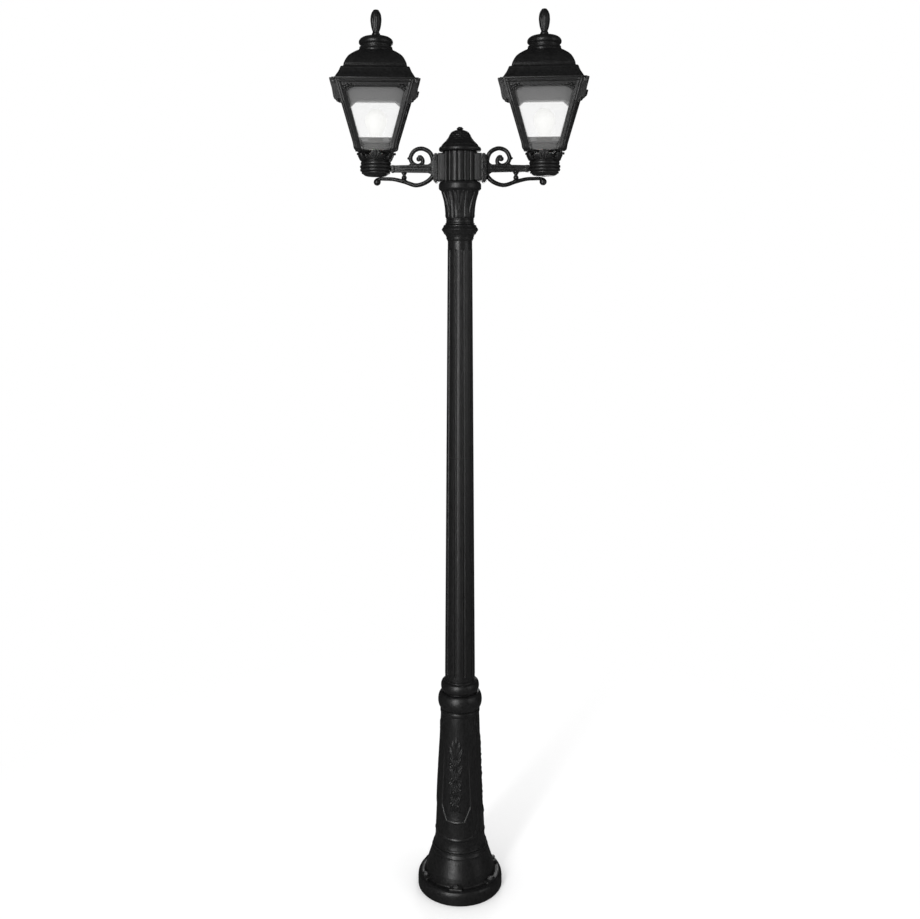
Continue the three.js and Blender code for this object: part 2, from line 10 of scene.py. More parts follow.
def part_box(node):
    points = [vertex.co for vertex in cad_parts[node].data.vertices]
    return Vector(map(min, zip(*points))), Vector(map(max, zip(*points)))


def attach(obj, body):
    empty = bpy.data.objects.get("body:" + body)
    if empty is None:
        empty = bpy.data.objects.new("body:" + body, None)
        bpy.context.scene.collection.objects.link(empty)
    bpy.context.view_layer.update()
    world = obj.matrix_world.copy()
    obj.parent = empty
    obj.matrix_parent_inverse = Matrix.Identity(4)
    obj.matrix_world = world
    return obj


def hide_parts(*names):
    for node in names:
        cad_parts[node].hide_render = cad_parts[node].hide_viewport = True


# Looks for a twin-lantern garden lamp post. Shapes are worked out in millimetres and turned
# into metres when a mesh is made. Heights of a turned piece count up from the bottom of its
# CAD node, so that the piece follows the frame.
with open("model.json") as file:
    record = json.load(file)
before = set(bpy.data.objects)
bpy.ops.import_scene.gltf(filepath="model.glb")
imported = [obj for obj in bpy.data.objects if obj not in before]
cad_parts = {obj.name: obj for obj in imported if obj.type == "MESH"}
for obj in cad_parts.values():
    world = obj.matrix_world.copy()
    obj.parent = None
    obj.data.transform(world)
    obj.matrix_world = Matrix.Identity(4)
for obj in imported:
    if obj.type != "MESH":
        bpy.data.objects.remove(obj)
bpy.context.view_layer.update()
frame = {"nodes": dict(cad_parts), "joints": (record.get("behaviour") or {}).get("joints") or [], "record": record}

MM = 0.001
TURN = 2 * pi
FRONT = -pi / 2
BLACK = "black_cast_resin"


# ---- places from the frame
def low(node):
    """Lowest corner of a CAD node, in millimetres."""
    return [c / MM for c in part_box(node)[0]]


def high(node):
    return [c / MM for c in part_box(node)[1]]


def middle(node):
    return [(a + b) / 2 for a, b in zip(low(node), high(node))]


def unit(values):
    return np.clip(values, 0, 1)


def ramp(value, start, length):
    """Rises from 0 at a start to 1 a length further on; a negative length runs the other way."""
    return unit((value - start) / length)


# ---- outlines
def pairs(*numbers):
    """The points of an outline from their numbers in a row."""
    return list(zip(numbers[::2], numbers[1::2]))


def rounded(outline, radius, steps=4, closed=False):
    """The same outline with each corner turned into a short curve."""
    points = [np.array(p, float) for p in outline]
    count = len(points)
    out = []
    for i, p in enumerate(points):
        if not closed and i in (0, count - 1):
            out.append(p)
            continue
        before, after = points[i - 1] - p, points[(i + 1) % count] - p
        la, lb = np.linalg.norm(before), np.linalg.norm(after)
        a = p + before / la * min(radius, 0.45 * la)
        b = p + after / lb * min(radius, 0.45 * lb)
        for t in np.linspace(0, 1, steps):
            out.append((1 - t) ** 2 * a + 2 * t * (1 - t) * p + t * t * b)
    return out


def dense(outline, step):
    """The same outline with points no further apart than step."""
    out = [np.array(outline[0], float)]
    for a, b in zip(outline, outline[1:]):
        a, b = np.array(a, float), np.array(b, float)
        pieces = max(1, int(ceil(np.linalg.norm(b - a) / step)))
        out += [a + (b - a) * k / pieces for k in range(1, pieces + 1)]
    return out


def bead(radius, bottom, top, swell, steps=8):
    """Points up a half-round bead that swells out of a radius."""
    centre, half = (bottom + top) / 2, (top - bottom) / 2
    turns = [pi * i / steps for i in range(steps + 1)]
    return [(radius + swell * sin(t), centre - half * cos(t)) for t in turns]


def smooth_path(points, count):
    """A Catmull-Rom curve through points, sampled evenly by its parameter."""
    p = np.array([points[0], *points, points[-1]], float)
    out = []
    for t in np.linspace(0, len(points) - 1, count):
        i = min(int(t), len(points) - 2)
        f = t - i
        a, b, c, d = p[i], p[i + 1], p[i + 2], p[i + 3]
        out.append(
            0.5 * (2 * b + (c - a) * f + (2 * a - 5 * b + 4 * c - d) * f**2)
            + 0.5 * (3 * b - a - 3 * c + d) * f**3
        )
    return np.array(out)


# ---- meshes
def linked(name, data):
    """A new object in the scene."""
    obj = bpy.data.objects.new(name, data)
    bpy.context.scene.collection.objects.link(obj)
    return obj


def shade_smooth(obj, smooth=True):
    for face in obj.data.polygons:
        face.use_smooth = smooth
    return obj


def new_object(name, verts, faces, smooth=True):
    mesh = bpy.data.meshes.new(name)
    mesh.from_pydata((np.asarray(verts) * MM).tolist(), [], faces)
    mesh.validate()
    work = bmesh.new()
    work.from_mesh(mesh)
    bmesh.ops.remove_doubles(work, verts=work.verts, dist=1e-6)
    bmesh.ops.recalc_face_normals(work, faces=work.faces)
    work.to_mesh(mesh)
    work.free()
    return shade_smooth(linked(name, mesh), smooth)


def circle(radius, z=0.0, count=16, centre=(0, 0)):
    """Points round a level circle, or with few of them round a polygon."""
    turns = np.linspace(0, TURN, count, endpoint=False)
    return [(centre[0] + radius * cos(t), centre[1] + radius * sin(t), z) for t in turns]


def loft(rings, closed_path=False):
    """Vertices and faces of a skin over rings that have equal counts of points."""
    rings = np.asarray(rings, float)
    rows, count = rings.shape[:2]
    verts = rings.reshape(-1, 3)
    faces = []
    for i in range(rows if closed_path else rows - 1):
        j = (i + 1) % rows
        for k in range(count):
            m = (k + 1) % count
            faces.append((i * count + k, i * count + m, j * count + m, j * count + k))
    return verts, faces


def revolved(name, outline, segments=96, relief=None, closed=True, at=(0, 0), bottom=0):
    """A turned piece; relief(angle, height, radius) is how far its skin stands out."""
    outline = np.array(outline)
    angles = np.linspace(0, TURN, segments, endpoint=False)
    radius = np.repeat(outline[:, :1], segments, 1)
    height = np.repeat(outline[:, 1:], segments, 1)
    angle = np.repeat(angles[None, :], len(outline), 0)
    if relief:
        radius = radius + np.where(radius > 0.01, relief(angle, height, radius), 0)
    rings = [at[0] + radius * np.cos(angle), at[1] + radius * np.sin(angle), bottom + height]
    return new_object(name, *loft(np.stack(rings, -1), closed_path=closed))


def square_ring(half, corner, z, per_corner=6):
    """Points round a square of a half-width with rounded corners."""
    corner = min(corner, half * 0.95)
    points = []
    for quarter in range(4):
        turn = quarter * pi / 2
        for k in range(per_corner):
            a = turn + (k / (per_corner - 1)) * pi / 2
            cx = (half - corner) * sqrt(2) * cos(turn + pi / 4)
            cy = (half - corner) * sqrt(2) * sin(turn + pi / 4)
            points.append((cx + corner * cos(a), cy + corner * sin(a), z))
    return points


def squared(name, outline, corner, bottom=0):
    """A four-sided piece from (half-width, height) pairs; corner(half, z) is its corner radius."""
    rings = [square_ring(half, corner(half, z), bottom + z) for half, z in outline]
    return new_object(name, *loft(rings, closed_path=True))


def fill_ends(verts, faces, count):
    """Adds a cap to each end of a loft whose rings have count points."""
    total = len(verts)
    return verts, faces + [tuple(range(count)), tuple(range(total - count, total))]


def swept(path, radii, flat=1.0, sides=14):
    """Verts and faces of a round or flattened rod in the XZ plane; flat scales it along Y."""
    path = np.asarray(path, float)
    tangent = np.gradient(path, axis=0)
    tangent /= np.linalg.norm(tangent, axis=1)[:, None]
    side = np.stack([tangent[:, 2], np.zeros(len(path)), -tangent[:, 0]], 1)
    rings = []
    for p, s, r in zip(path, side, radii):
        turns = np.linspace(0, TURN, sides, endpoint=False)
        rings.append([p + s * r * cos(t) + np.array([0, flat * r * sin(t), 0]) for t in turns])
    verts, faces = loft(rings)
    return fill_ends(verts, faces, sides)


def sphere(radius, centre, squash=(1, 1, 1), rings=10, sides=16):
    rows = []
    for i in range(rings + 1):
        a = -pi / 2 + pi * i / rings
        r = max(cos(a), 1e-4) * radius
        rows.append([
            (centre[0] + squash[0] * x, centre[1] + squash[1] * y, centre[2] + squash[2] * radius * sin(a))
            for x, y, _ in circle(r, 0, sides)
        ])
    return fill_ends(*loft(rows), sides)


def slab(outline, thickness, y=0.0):
    """Verts and faces of a flat plate: an (x, z) outline, standing in the XZ plane."""
    count = len(outline)
    front = [(x, y - thickness / 2, z) for x, z in outline]
    back = [(x, y + thickness / 2, z) for x, z in outline]
    return fill_ends(*loft([front, back]), count)


def block(x0, x1, y0, y1, z0, z1):
    return slab([(x0, z0), (x1, z0), (x1, z1), (x0, z1)], y1 - y0, (y0 + y1) / 2)


def bar_along(axis, steps, centre, sides=16):
    """A bar along X or Z through (radius, place) pairs; centre holds the other two places."""
    rings = [circle(r, at, sides, centre) for r, at in steps]
    if axis == "x":
        rings = [[(along, u, v) for u, v, along in ring] for ring in rings]
    return fill_ends(*loft(rings), sides)


def rod(axis, radius, start, end, centre, sides=16):
    return bar_along(axis, [(radius, start), (radius, end)], centre, sides)


def turned_parts(parts, degrees):
    """The same parts turned about the Z axis."""
    turn = Matrix.Rotation(radians(degrees), 3, "Z")
    return [([tuple(turn @ Vector(v)) for v in verts], faces) for verts, faces in parts]


def quarter_turns(parts):
    """The same parts at each of the four sides."""
    return [part for i in range(4) for part in turned_parts(parts, 90 * i)]


def shifted(part, move):
    """A part with move(x, y, z) applied to each of its points."""
    return [move(*v) for v in part[0]], part[1]


def united(name, parts):
    """One object from several closed parts, each a pair of verts and faces."""
    verts, faces = [], []
    for part_verts, part_faces in parts:
        start = len(verts)
        verts += [tuple(v) for v in part_verts]
        faces += [tuple(start + i for i in face) for face in part_faces]
    return new_object(name, verts, faces, smooth=False)


def modify(obj, kind, **settings):
    """Adds one modifier and bakes it, with any before it, into the mesh."""
    add_modifier(obj, kind, **settings)
    done = obj.evaluated_get(bpy.context.evaluated_depsgraph_get())
    mesh = bpy.data.meshes.new_from_object(done)
    obj.modifiers.clear()
    old = obj.data
    obj.data = mesh
    bpy.data.meshes.remove(old)
    return obj


def add_modifier(obj, kind, **settings):
    m = obj.modifiers.new(kind.title(), kind)
    for key, value in settings.items():
        setattr(m, key, value)


def softened(obj, width, segments=3):
    """Rounds the sharp edges of a hard-edged piece."""
    add_modifier(
        obj, "BEVEL", width=width * MM, segments=segments, limit_method="ANGLE",
        angle_limit=radians(30), harden_normals=False,
    )
    return modify(shade_smooth(obj), "WEIGHTED_NORMAL", keep_sharp=True)


def cast(obj, grain, passes):
    """Melts overlapping parts into one casting with small fillets."""
    modify(obj, "REMESH", mode="VOXEL", voxel_size=grain * MM, use_smooth_shade=True)
    return shade_smooth(modify(obj, "SMOOTH", factor=0.5, iterations=passes))


def carve(obj, parts, **settings):
    """Cuts closed parts out of a piece."""
    cutters = united("cutters", parts)
    modify(obj, "BOOLEAN", object=cutters, operation="DIFFERENCE", solver="EXACT", **settings)
    bpy.data.objects.remove(cutters)


def merge(name, *objects):
    """Joins objects into one piece."""
    work = bmesh.new()
    for obj in objects:
        work.from_mesh(obj.data)
    mesh = bpy.data.meshes.new(name)
    work.to_mesh(mesh)
    work.free()
    for obj in objects:
        bpy.data.objects.remove(obj)
    return linked(name, mesh)


# ---- materials
class Shader:
    """The node tree of a material or of the world, while it is put together."""

    def __init__(self, owner):
        owner.use_nodes = True
        self.owner, self.tree = owner, owner.node_tree
        self.tree.nodes.clear()

    def node(self, kind, inputs=None, **settings):
        """A shader node with its inputs and settings filled in."""
        n = self.tree.nodes.new("ShaderNode" + kind)
        for key, value in settings.items():
            setattr(n, key, value)
        for key, value in (inputs or {}).items():
            if isinstance(value, bpy.types.NodeSocket):
                self.tree.links.new(value, n.inputs[key])
            else:
                n.inputs[key].default_value = value
        return n

    def first(self, kind, inputs=None, **settings):
        return self.node(kind, inputs, **settings).outputs[0]

    def maths(self, operation, *values):
        return self.first("Math", dict(enumerate(values)), operation=operation)

    def noise(self, scale, detail=3.0, roughness=0.55, at=None):
        """A noise from 0 to 1; scale is how many features a metre holds."""
        return self.first("TexNoise", {
            "Vector": self.spot if at is None else at, "Scale": scale, "Detail": detail,
            "Roughness": roughness,
        })

    def stretched(self, *scale):
        """The place on the piece, scaled along each axis so that a noise draws out."""
        return self.first("Mapping", {"Vector": self.spot, "Scale": scale})

    def spread(self, value, low, high, from_low=0.3, from_high=0.7):
        """Stretches a value to a new range."""
        return self.first("MapRange", {
            "Value": value, "From Min": from_low, "From Max": from_high, "To Min": low, "To Max": high,
        })

    def mix(self, factor, a, b):
        """Blends two colours."""
        return self.node("Mix", {0: factor, 6: a, 7: b}, data_type="RGBA").outputs[2]

    def bumps(self, *layers):
        """Stacks bumps: each layer is a height and how deep it is in millimetres."""
        normal = None
        for height, depth in layers:
            inputs = {"Height": height, "Distance": depth * MM, "Strength": 1.0}
            if normal:
                inputs["Normal"] = normal
            normal = self.first("Bump", inputs)
        return normal

    def finish(self, surface, end="OutputMaterial"):
        self.tree.links.new(surface, self.node(end).inputs["Surface"])
        return self.owner


def new_material(name):
    s = Shader(bpy.data.materials.new(name))
    s.spot = s.node("TexCoord").outputs["Object"]
    return s


def grey(value, tint=(1.0, 1.0, 1.0)):
    return (value * tint[0], value * tint[1], value * tint[2], 1.0)


def cast_black(name, value=0.0035, roughness=0.36, grain=0.1, worn=0.03):
    """Black coated casting: fine pebble, faint mottling, dusty hollows and rubbed edges."""
    s = new_material(name)
    edges = s.node("NewGeometry").outputs["Pointiness"]
    speckle = s.noise(240, 3, 0.7)
    mottled = s.mix(
        s.spread(speckle, 0, 1, 0.35, 0.65), grey(value * 0.4, (1, 1, 1.05)), grey(value * 2.6, (1, 1, 1.02)),
    )
    patchy = s.noise(45, 5)
    rubbed = s.maths("MULTIPLY", s.spread(edges, 0, 1, 0.515, 0.6), patchy)
    on_edges = s.mix(rubbed, mottled, grey(worn, (1.0, 0.99, 0.97)))
    dusty = s.maths("MULTIPLY", s.spread(edges, 0.5, 0, 0.38, 0.485), s.spread(patchy, 0.15, 0.8))
    smears = s.spread(s.noise(70, 4), roughness - 0.06, roughness + 0.08)
    return s.finish(s.first("BsdfPrincipled", {
        "Base Color": s.mix(dusty, on_edges, grey(0.008, (1.0, 0.97, 0.92))),
        "Roughness": s.maths("ADD", smears, s.spread(dusty, 0, 0.25, 0, 1)),
        "Normal": s.bumps((s.noise(60, 3), 0.25), (speckle, 0.5), (s.noise(1300, 2), grain)),
        "Specular IOR Level": 0.5, "Coat Weight": 0.1, "Coat Roughness": 0.3,
    }))


# Where the diffusers carry painted shade, in metres: below the top of the neck, and on the front face above
# a line that drops at the window's corners, counted from the middle of the window.
NECK_TOP = 2.0755
BAND_BOTTOM = 2.165
BAND_FRONT = -0.066
BAND_MIDDLE_X = 0.2292
BAND_CORNERS = (0.053, 0.066)
BAND_DROP = 0.011


def opal_sheet(name, haze=0.055):
    """Clear moulded sheet with a faint haze, and painted shade on its neck and on a band under its front rim."""
    s = new_material(name)
    split = s.node("SeparateXYZ", {0: s.spot}).outputs
    on_neck = s.spread(split["Z"], 1.0, 0.0, NECK_TOP, NECK_TOP + 0.001)
    off_centre = s.maths("SUBTRACT", s.maths("ABSOLUTE", split["X"]), BAND_MIDDLE_X)
    drop = s.spread(s.maths("ABSOLUTE", off_centre), 0, BAND_DROP, *BAND_CORNERS)
    above = s.spread(s.maths("ADD", split["Z"], drop), 0.0, 1.0, BAND_BOTTOM, BAND_BOTTOM + 0.003)
    in_front = s.spread(split["Y"], 1.0, 0.0, BAND_FRONT, BAND_FRONT + 0.006)
    on_band = s.maths("MULTIPLY", above, in_front)
    # Painted shade: the neck and the front band are greyed and made more opaque, standing in for the shaded inside
    # of the lantern.
    painted_shade = s.maths("MAXIMUM", on_neck, on_band)
    flow = s.stretched(1.0, 1.0, 0.25)
    cloud = s.spread(s.noise(30, 4, at=flow), haze * 0.8, haze * 1.25)
    normal = s.bumps((s.noise(26, 3, at=flow), 0.25), (s.noise(700, 2), 0.012))
    # The painted shade is grey 0.22 on the neck and 0.27 on the band; the rest of the sheet stays near white.
    tint = s.mix(painted_shade, grey(0.9, (1, 1, 0.99)), s.mix(on_band, grey(0.22), grey(0.27)))
    milk = s.first("BsdfDiffuse", {"Color": tint, "Normal": normal})
    glow = s.first("BsdfTranslucent", {"Color": tint, "Normal": normal})
    hazy = s.first("MixShader", {
        0: s.maths("MULTIPLY_ADD", painted_shade, 0.62, cloud),
        1: s.first("BsdfTransparent", {"Color": grey(1.0)}),
        2: s.first("MixShader", {0: 0.5, 1: milk, 2: glow}),
    })
    shine = s.first("BsdfAnisotropic", {
        "Color": grey(1.0), "Roughness": s.spread(s.noise(55, 3), 0.12, 0.24), "Normal": normal,
    })
    facing = s.first("Fresnel", {"IOR": 1.4, "Normal": normal})
    return s.finish(s.first("MixShader", {0: s.maths("MULTIPLY", facing, 0.45), 1: hazy, 2: shine}))


def metal(name, colour, roughness, spangle=0.0, streaks=0.0):
    """Bare metal; spangle gives galvanised flakes, streaks gives drawing lines along Z."""
    s = new_material(name)
    shades = s.noise(120, 4)
    layers = [(s.noise(900, 3), 0.02)]
    if spangle:
        flakes = s.node("TexVoronoi", {"Vector": s.spot, "Scale": 160.0}).outputs
        shades = s.maths("MULTIPLY", s.first("SeparateColor", {0: flakes["Color"]}), spangle)
        layers.append((flakes["Distance"], 0.02))
    if streaks:
        layers.append((s.noise(1500, 2, at=s.stretched(1.0, 1.0, 0.02)), streaks))
    return s.finish(s.first("BsdfPrincipled", {
        "Base Color": s.mix(shades, grey(1, colour), grey(0.55, colour)),
        "Metallic": 1.0, "Normal": s.bumps(*layers),
        "Roughness": s.spread(s.noise(200, 4), roughness - 0.08, roughness + 0.12),
    }))


def moulded(name, colour, roughness, grain=0.02, sheen=0.0, glow=0.0, light=0.0, shading=0.12):
    """Plastic, rubber, ceramic or frosted glass: an even colour with a fine skin."""
    s = new_material(name)
    return s.finish(s.first("BsdfPrincipled", {
        "Base Color": s.mix(s.noise(50, 4), grey(1, colour), grey(1 - shading, colour)),
        "Roughness": s.spread(s.noise(150, 4), roughness - 0.05, roughness + 0.08),
        "Normal": s.bumps((s.noise(90, 3), 0.05), (s.noise(1500, 2), grain)),
        "Sheen Weight": sheen, "Subsurface Weight": glow, "Subsurface Scale": 0.004,
        "Emission Color": grey(1, colour), "Emission Strength": light,
    }))


FINISHES = {
    BLACK: cast_black(BLACK),
    "opal_diffuser": opal_sheet("opal_diffuser"),
    "galvanised_steel": metal("galvanised_steel", (0.52, 0.54, 0.55), 0.42, spangle=0.7),
    "bright_steel": metal("bright_steel", (0.6, 0.6, 0.59), 0.28, streaks=0.02),
    "black_screw": cast_black("black_screw", 0.02, 0.3, grain=0.02, worn=0.12),
    "black_rubber": moulded("black_rubber", (0.02, 0.02, 0.02), 0.75, grain=0.05, sheen=0.2),
    "terminal_plastic": moulded("terminal_plastic", (0.72, 0.69, 0.58), 0.45),
    "brass": metal("brass", (0.66, 0.47, 0.2), 0.3, streaks=0.02),
    "holder_ceramic": moulded("holder_ceramic", (0.86, 0.85, 0.8), 0.3, glow=0.05),
    "bulb_glass": moulded(
        "bulb_glass", (0.16, 0.16, 0.157), 0.6, grain=0.006, light=5.2, shading=0.04,
    ),
}
SMOOTHER_BLACK = cast_black("black_arm_resin", roughness=0.27)


# ---- placing pieces
def give_finish(obj, finish):
    obj.data.materials.clear()
    obj.data.materials.append(FINISHES[finish])


def place(obj, body, *stands_for, finish=BLACK):
    """Gives a piece its finish, its body and the CAD nodes it stands for."""
    give_finish(obj, finish)
    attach(obj, body)
    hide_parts(*stands_for)


def turned_piece(name, body, outline, segments, relief=None):
    """A casting turned round the post's axis that stands for one CAD node."""
    look = revolved(f"{name}_look", outline, segments, relief, bottom=low(name)[2])
    place(look, body, name)


def lantern_matrix(side):
    """From a lantern's own axes to the frame: its stem's place and the way its roof hinge points."""
    along = next(j for j in frame["joints"] if j["name"] == f"{side}_lid_hinge")["axis"]
    turn = Matrix.Rotation(atan2(-along[1], -along[0]), 4, "Z")
    return Matrix.Translation((middle(f"{side}_stem")[0], 0, 0)) @ turn


def lantern_box(node_name):
    """Lowest and highest corners of one of the right lantern's CAD nodes, in the lantern's own axes."""
    back = lantern_matrix("right").inverted()
    points = [back @ (v.co / MM) for v in frame["nodes"][node_name].data.vertices]
    return [[pick(p[i] for p in points) for i in range(3)] for pick in (min, max)]


def hinge_line():
    """Where the roof hinge runs, as its (y, z) place in the lantern's own axes."""
    first, last = lantern_box("right_hinge_pin")
    return (first[1] + last[1]) / 2, (first[2] + last[2]) / 2


def placed_pair(obj, part, body, finish=BLACK, on_arm=False):
    """Places a piece drawn round the lantern's own axis, or for the +X arm, on both sides."""
    for side, half_turn in (("left", pi), ("right", 0.0)):
        matrix = Matrix.Rotation(half_turn, 4, "Z") if on_arm else lantern_matrix(side)
        mesh = obj.data.copy()
        mesh.transform(Matrix.Scale(MM, 4) @ matrix @ Matrix.Scale(1 / MM, 4))
        look = linked(f"{side}_{part}_look", mesh)
        place(look, body.format(side), f"{side}_{part}", finish=finish)
    bpy.data.objects.remove(obj)


def turned_pair(part, body, outline, segments, relief=None, finish=BLACK, closed=False):
    """A piece turned round the lantern's own axis, on both sides."""
    bottom = low(f"right_{part}")[2]
    placed_pair(revolved(part, outline, segments, relief, closed, bottom=bottom), part, body, finish)


# ---- relief on turned pieces
def dome(away):
    """A half-round: 1 in the middle, 0 from a distance of 1."""
    return np.sqrt(unit(1 - away**2))


def ridge(s, z, path, half_width, height):
    """A half-round line raised along a path of (across, up) points."""
    nearest = np.full(np.shape(s), np.inf)
    for (s0, z0), (s1, z1) in zip(path, path[1:]):
        ds, dz = s1 - s0, z1 - z0
        t = unit(((s - s0) * ds + (z - z0) * dz) / (ds**2 + dz**2))
        nearest = np.minimum(nearest, np.hypot(s - s0 - t * ds, z - z0 - t * dz))
    return height * dome(nearest / half_width)


def leaf(s, z, base, tip, half_width, height, fullest=0.4):
    """A domed leaf from its base to its tip, with a sunk rib down its middle."""
    ds, dz = tip[0] - base[0], tip[1] - base[1]
    length = hypot(ds, dz)
    t = ((s - base[0]) * ds + (z - base[1]) * dz) / length**2
    across = ((s - base[0]) * dz - (z - base[1]) * ds) / length
    bent = np.clip(t, 1e-3, 1 - 1e-3) ** (log(0.5) / log(fullest))
    width = half_width * np.sin(pi * bent) ** 0.85 + 0.05
    taper = unit(4 * (1 - t)) * unit(6 * t)
    groove = 0.4 * np.exp(-((across / 0.9) ** 2))
    return np.where((t > 0) & (t < 1), height * dome(across / width) * taper * (1 - groove), 0)


def knob(s, z, centre, radius, height):
    """A small berry standing out of the skin."""
    return height * dome(np.hypot(s - centre[0], z - centre[1]) / radius)


def around(angle, first, count):
    """Angle from the nearest of several evenly spaced places, in radians."""
    pitch = TURN / count
    return (angle - first + pitch / 2) % pitch - pitch / 2


# ---- foot and column
ANCHOR_BOLTS = sorted(name for name in frame["nodes"] if name.startswith("anchor_bolt"))
LUG_TOP = 41
COLUMN_SCALE = 63


def build_foot():
    """The bell and its flange, with a bolted lug at each anchor."""
    skin = rounded(pairs(65, 114.6, 81, 75, 87, 45, 88, 24, 110, 16, 110.5, 0), 4)
    skin += rounded(pairs(
        116, 0, 116.5, 1.6, 116.5, 20, 115.6, 27, 113.4, 31.4, 110, 34, 105, 35.2, 99, 34.6), 3)
    skin += rounded(pairs(
        95.7, 36.4, 95.2, 40, 94.5, 47, 92.5, 57, 87.2, 73, 81.8, 88.6, 78.8, 97.6, 78, 100.6, 78.4, 102.4,
        77.4, 104.6, 75.2, 108.6, 74.4, 111.6, 74.9, 113, 74.4, 114.4, 72.6, 114.8, 67, 115), 0.9)
    base = low("foot_bell")[2]
    top = base + LUG_TOP
    side_face = pairs(86, top - 13, 86, top, 104, top, 107.6, top - 2.6, 108.4, top - 13)
    lugs = []
    for name in ANCHOR_BOLTS:
        x, y, _ = middle(name)
        lug = new_object("lug", *fill_ends(*loft(
            [[(r, side * 17.5, z) for r, z in side_face] for side in (-1, 1)]), 5), smooth=False)
        lug.data.transform(Matrix.Rotation(atan2(y, x), 4, "Z"))
        lugs.append(softened(lug, 1.8, 4))
    bell = revolved("bell", dense(skin, 3), 200, bottom=base)
    place(merge("foot_bell_look", bell, *lugs), "post", "foot_bell")


def build_anchor_bolts():
    """Hex bolts on flat washers, with a chamfered crown on each head."""
    seat = low("foot_bell")[2] + LUG_TOP + 0.3
    on_washer = seat + 1.2
    for name in ANCHOR_BOLTS:
        at = middle(name)[:2]
        bottom, top = low(name)[2], high(name)[2]
        crown = pairs(0.05, on_washer, 6.0, on_washer, 6.0, top - 1, 5.1, top, 0.05, top)
        head = new_object("head", *loft([circle(r, z, 6, at) for r, z in crown]), smooth=False)
        washer = revolved("washer", rounded(
            pairs(4.6, seat, 6.5, seat, 6.5, on_washer, 4.6, on_washer), 0.4, closed=True), 40, at=at)
        shank = pairs(0.05, bottom, 4.4, bottom, 4.4, seat + 3, 0.05, seat + 3)
        bolt = merge(f"{name}_look", softened(head, 0.4, 2), washer, revolved("shank", shank, 24, at=at))
        place(bolt, "post", name, finish="black_screw")


def garland(s, z):
    """A hanging spray: a stem, crossed pairs of leaves, a crown of blades and berries."""
    out = [ridge(s, z, pairs(0, 226, 1.0, 262, -0.6, 320, 0, 392), 2.4, 2.6)]
    for at, reach, length in ((244, 16, 38), (278, 18.5, 42), (314, 19.5, 44), (350, 17, 36)):
        for way in (-1, 1):
            tip = (way * reach, at - 10 + length)
            out.append(leaf(s, z, (-way * 4.0, at - 10), tip, 6.2, 4.4, 0.55))
            drop = (way * (reach - 2), at - 22)
            out.append(leaf(s, z, (way * 1.5, at + 4), drop, 5, 3.6, 0.55))
    for lean_out, top in pairs(-19, 396, -11, 415, 0, 428, 11, 413, 19, 394):
        out.append(leaf(s, z, (lean_out * 0.2, 362), (lean_out, top), 5.6, 4.2, 0.55))
    for aside, at in pairs(
            -15, 352, 16, 342, -11, 312, 8, 318, 14, 284, -7, 276, -13, 246, 8, 240, -17, 300):
        out.append(knob(s, z, (aside, at), 4.8, 4.6))
        out.append(knob(s, z, (aside - copysign(4.4, aside), at - 4.2), 3.0, 3.4))
    return np.maximum.reduce(out)


def column_relief(angle, z, radius):
    """Three panels round the column, each a border round a hanging garland, split by dividers."""
    turn = around(angle, FRONT + radians(-10), 3)
    degrees = np.abs(turn) * 180 / pi
    s = turn * radius

    def border(path, width, height):
        scaled = [(radians(d) * COLUMN_SCALE, up) for d, up in path]
        return ridge(degrees * pi / 180 * COLUMN_SCALE, z, scaled, width, height)

    inner = border(pairs(36, 398, 38, 300, 39.5, 236, 23, 197, 0, 195), 1.9, 1.7)
    inner = inner * ramp(z, 402, -120) ** 0.6
    divider = border(pairs(60, 452, 60, 196, 55, 168, 45, 153, 20, 148, 0, 147.5), 3.0, 1.5)
    side = (turn - np.sign(turn) * pi / 3) * radius
    sprig = [leaf(side, z, (0, 434), (0, 470), 5, 2.2)]
    for way in (-1, 1):
        sprig.append(leaf(side, z, (way, 432), (way * 13, 459), 4, 2))
        sprig.append(leaf(side, z, (way, 428), (way * 11, 440), 3.4, 1.7))
    raised = np.maximum.reduce([inner, divider, *sprig])
    field = -0.7 * ramp(degrees, 39, -2) * ramp(z, 200, 8) * ramp(z, 400, -100)
    bed = -1.1 * ramp(np.abs(s), 32, -18) * ramp(z, 204, 26) * ramp(z, 450, -30)
    depth = np.where(np.abs(around(angle, FRONT, 1)) < radians(60), 1.0, 0.55)
    out = np.where(raised == 0, field, raised) + garland(s, z) * depth + bed
    return np.where(radius > 50 + (487 - z) / 30, out * ramp(z, 128, 10) * ramp(z, 474, -6), 0)


def build_column():
    skin = rounded(pairs(
        64, 115.4, 72.8, 115.4, 73.2, 116.4, 72.4, 119, 71.0, 120, 71.4, 121.4, 70.6, 124, 69.4, 129), 0.7)
    skin += dense(pairs(69.1, 130, 68.6, 136, 66.6, 183, 62, 295, 57, 407, 53.7, 473.5), 1.3)[1:]
    skin += rounded(pairs(
        53.2, 475, 54.4, 476.6, 55.1, 479, 55.1, 483.5, 54.4, 486, 53.2, 486.4, 53, 487.6, 46, 487.6), 0.8)
    skin += pairs(56, 295, 64, 116)
    place(revolved("base_column_look", skin, 420, column_relief), "post", "base_column")


def build_collar():
    skin = [(38, 0), *bead(50.6, 0.2, 45, 10.6, 14), (46.8, 45.6), (46.3, 46.6)]
    skin += [*bead(46.3, 47, 75.4, 7, 10), *pairs(45, 76.2, 44.2, 77.4, 43.6, 79, 38, 79)]
    turned_piece("column_collar", "post", dense(skin, 2.4), 144)


# ---- fluted shaft
FLUTES = 10
FLUTE_HALF = 3.1
FLUTE_DEEP = 2.7
SHAFT_WALL = 7.5
SHAFT_TOP_RADIUS = 34.2


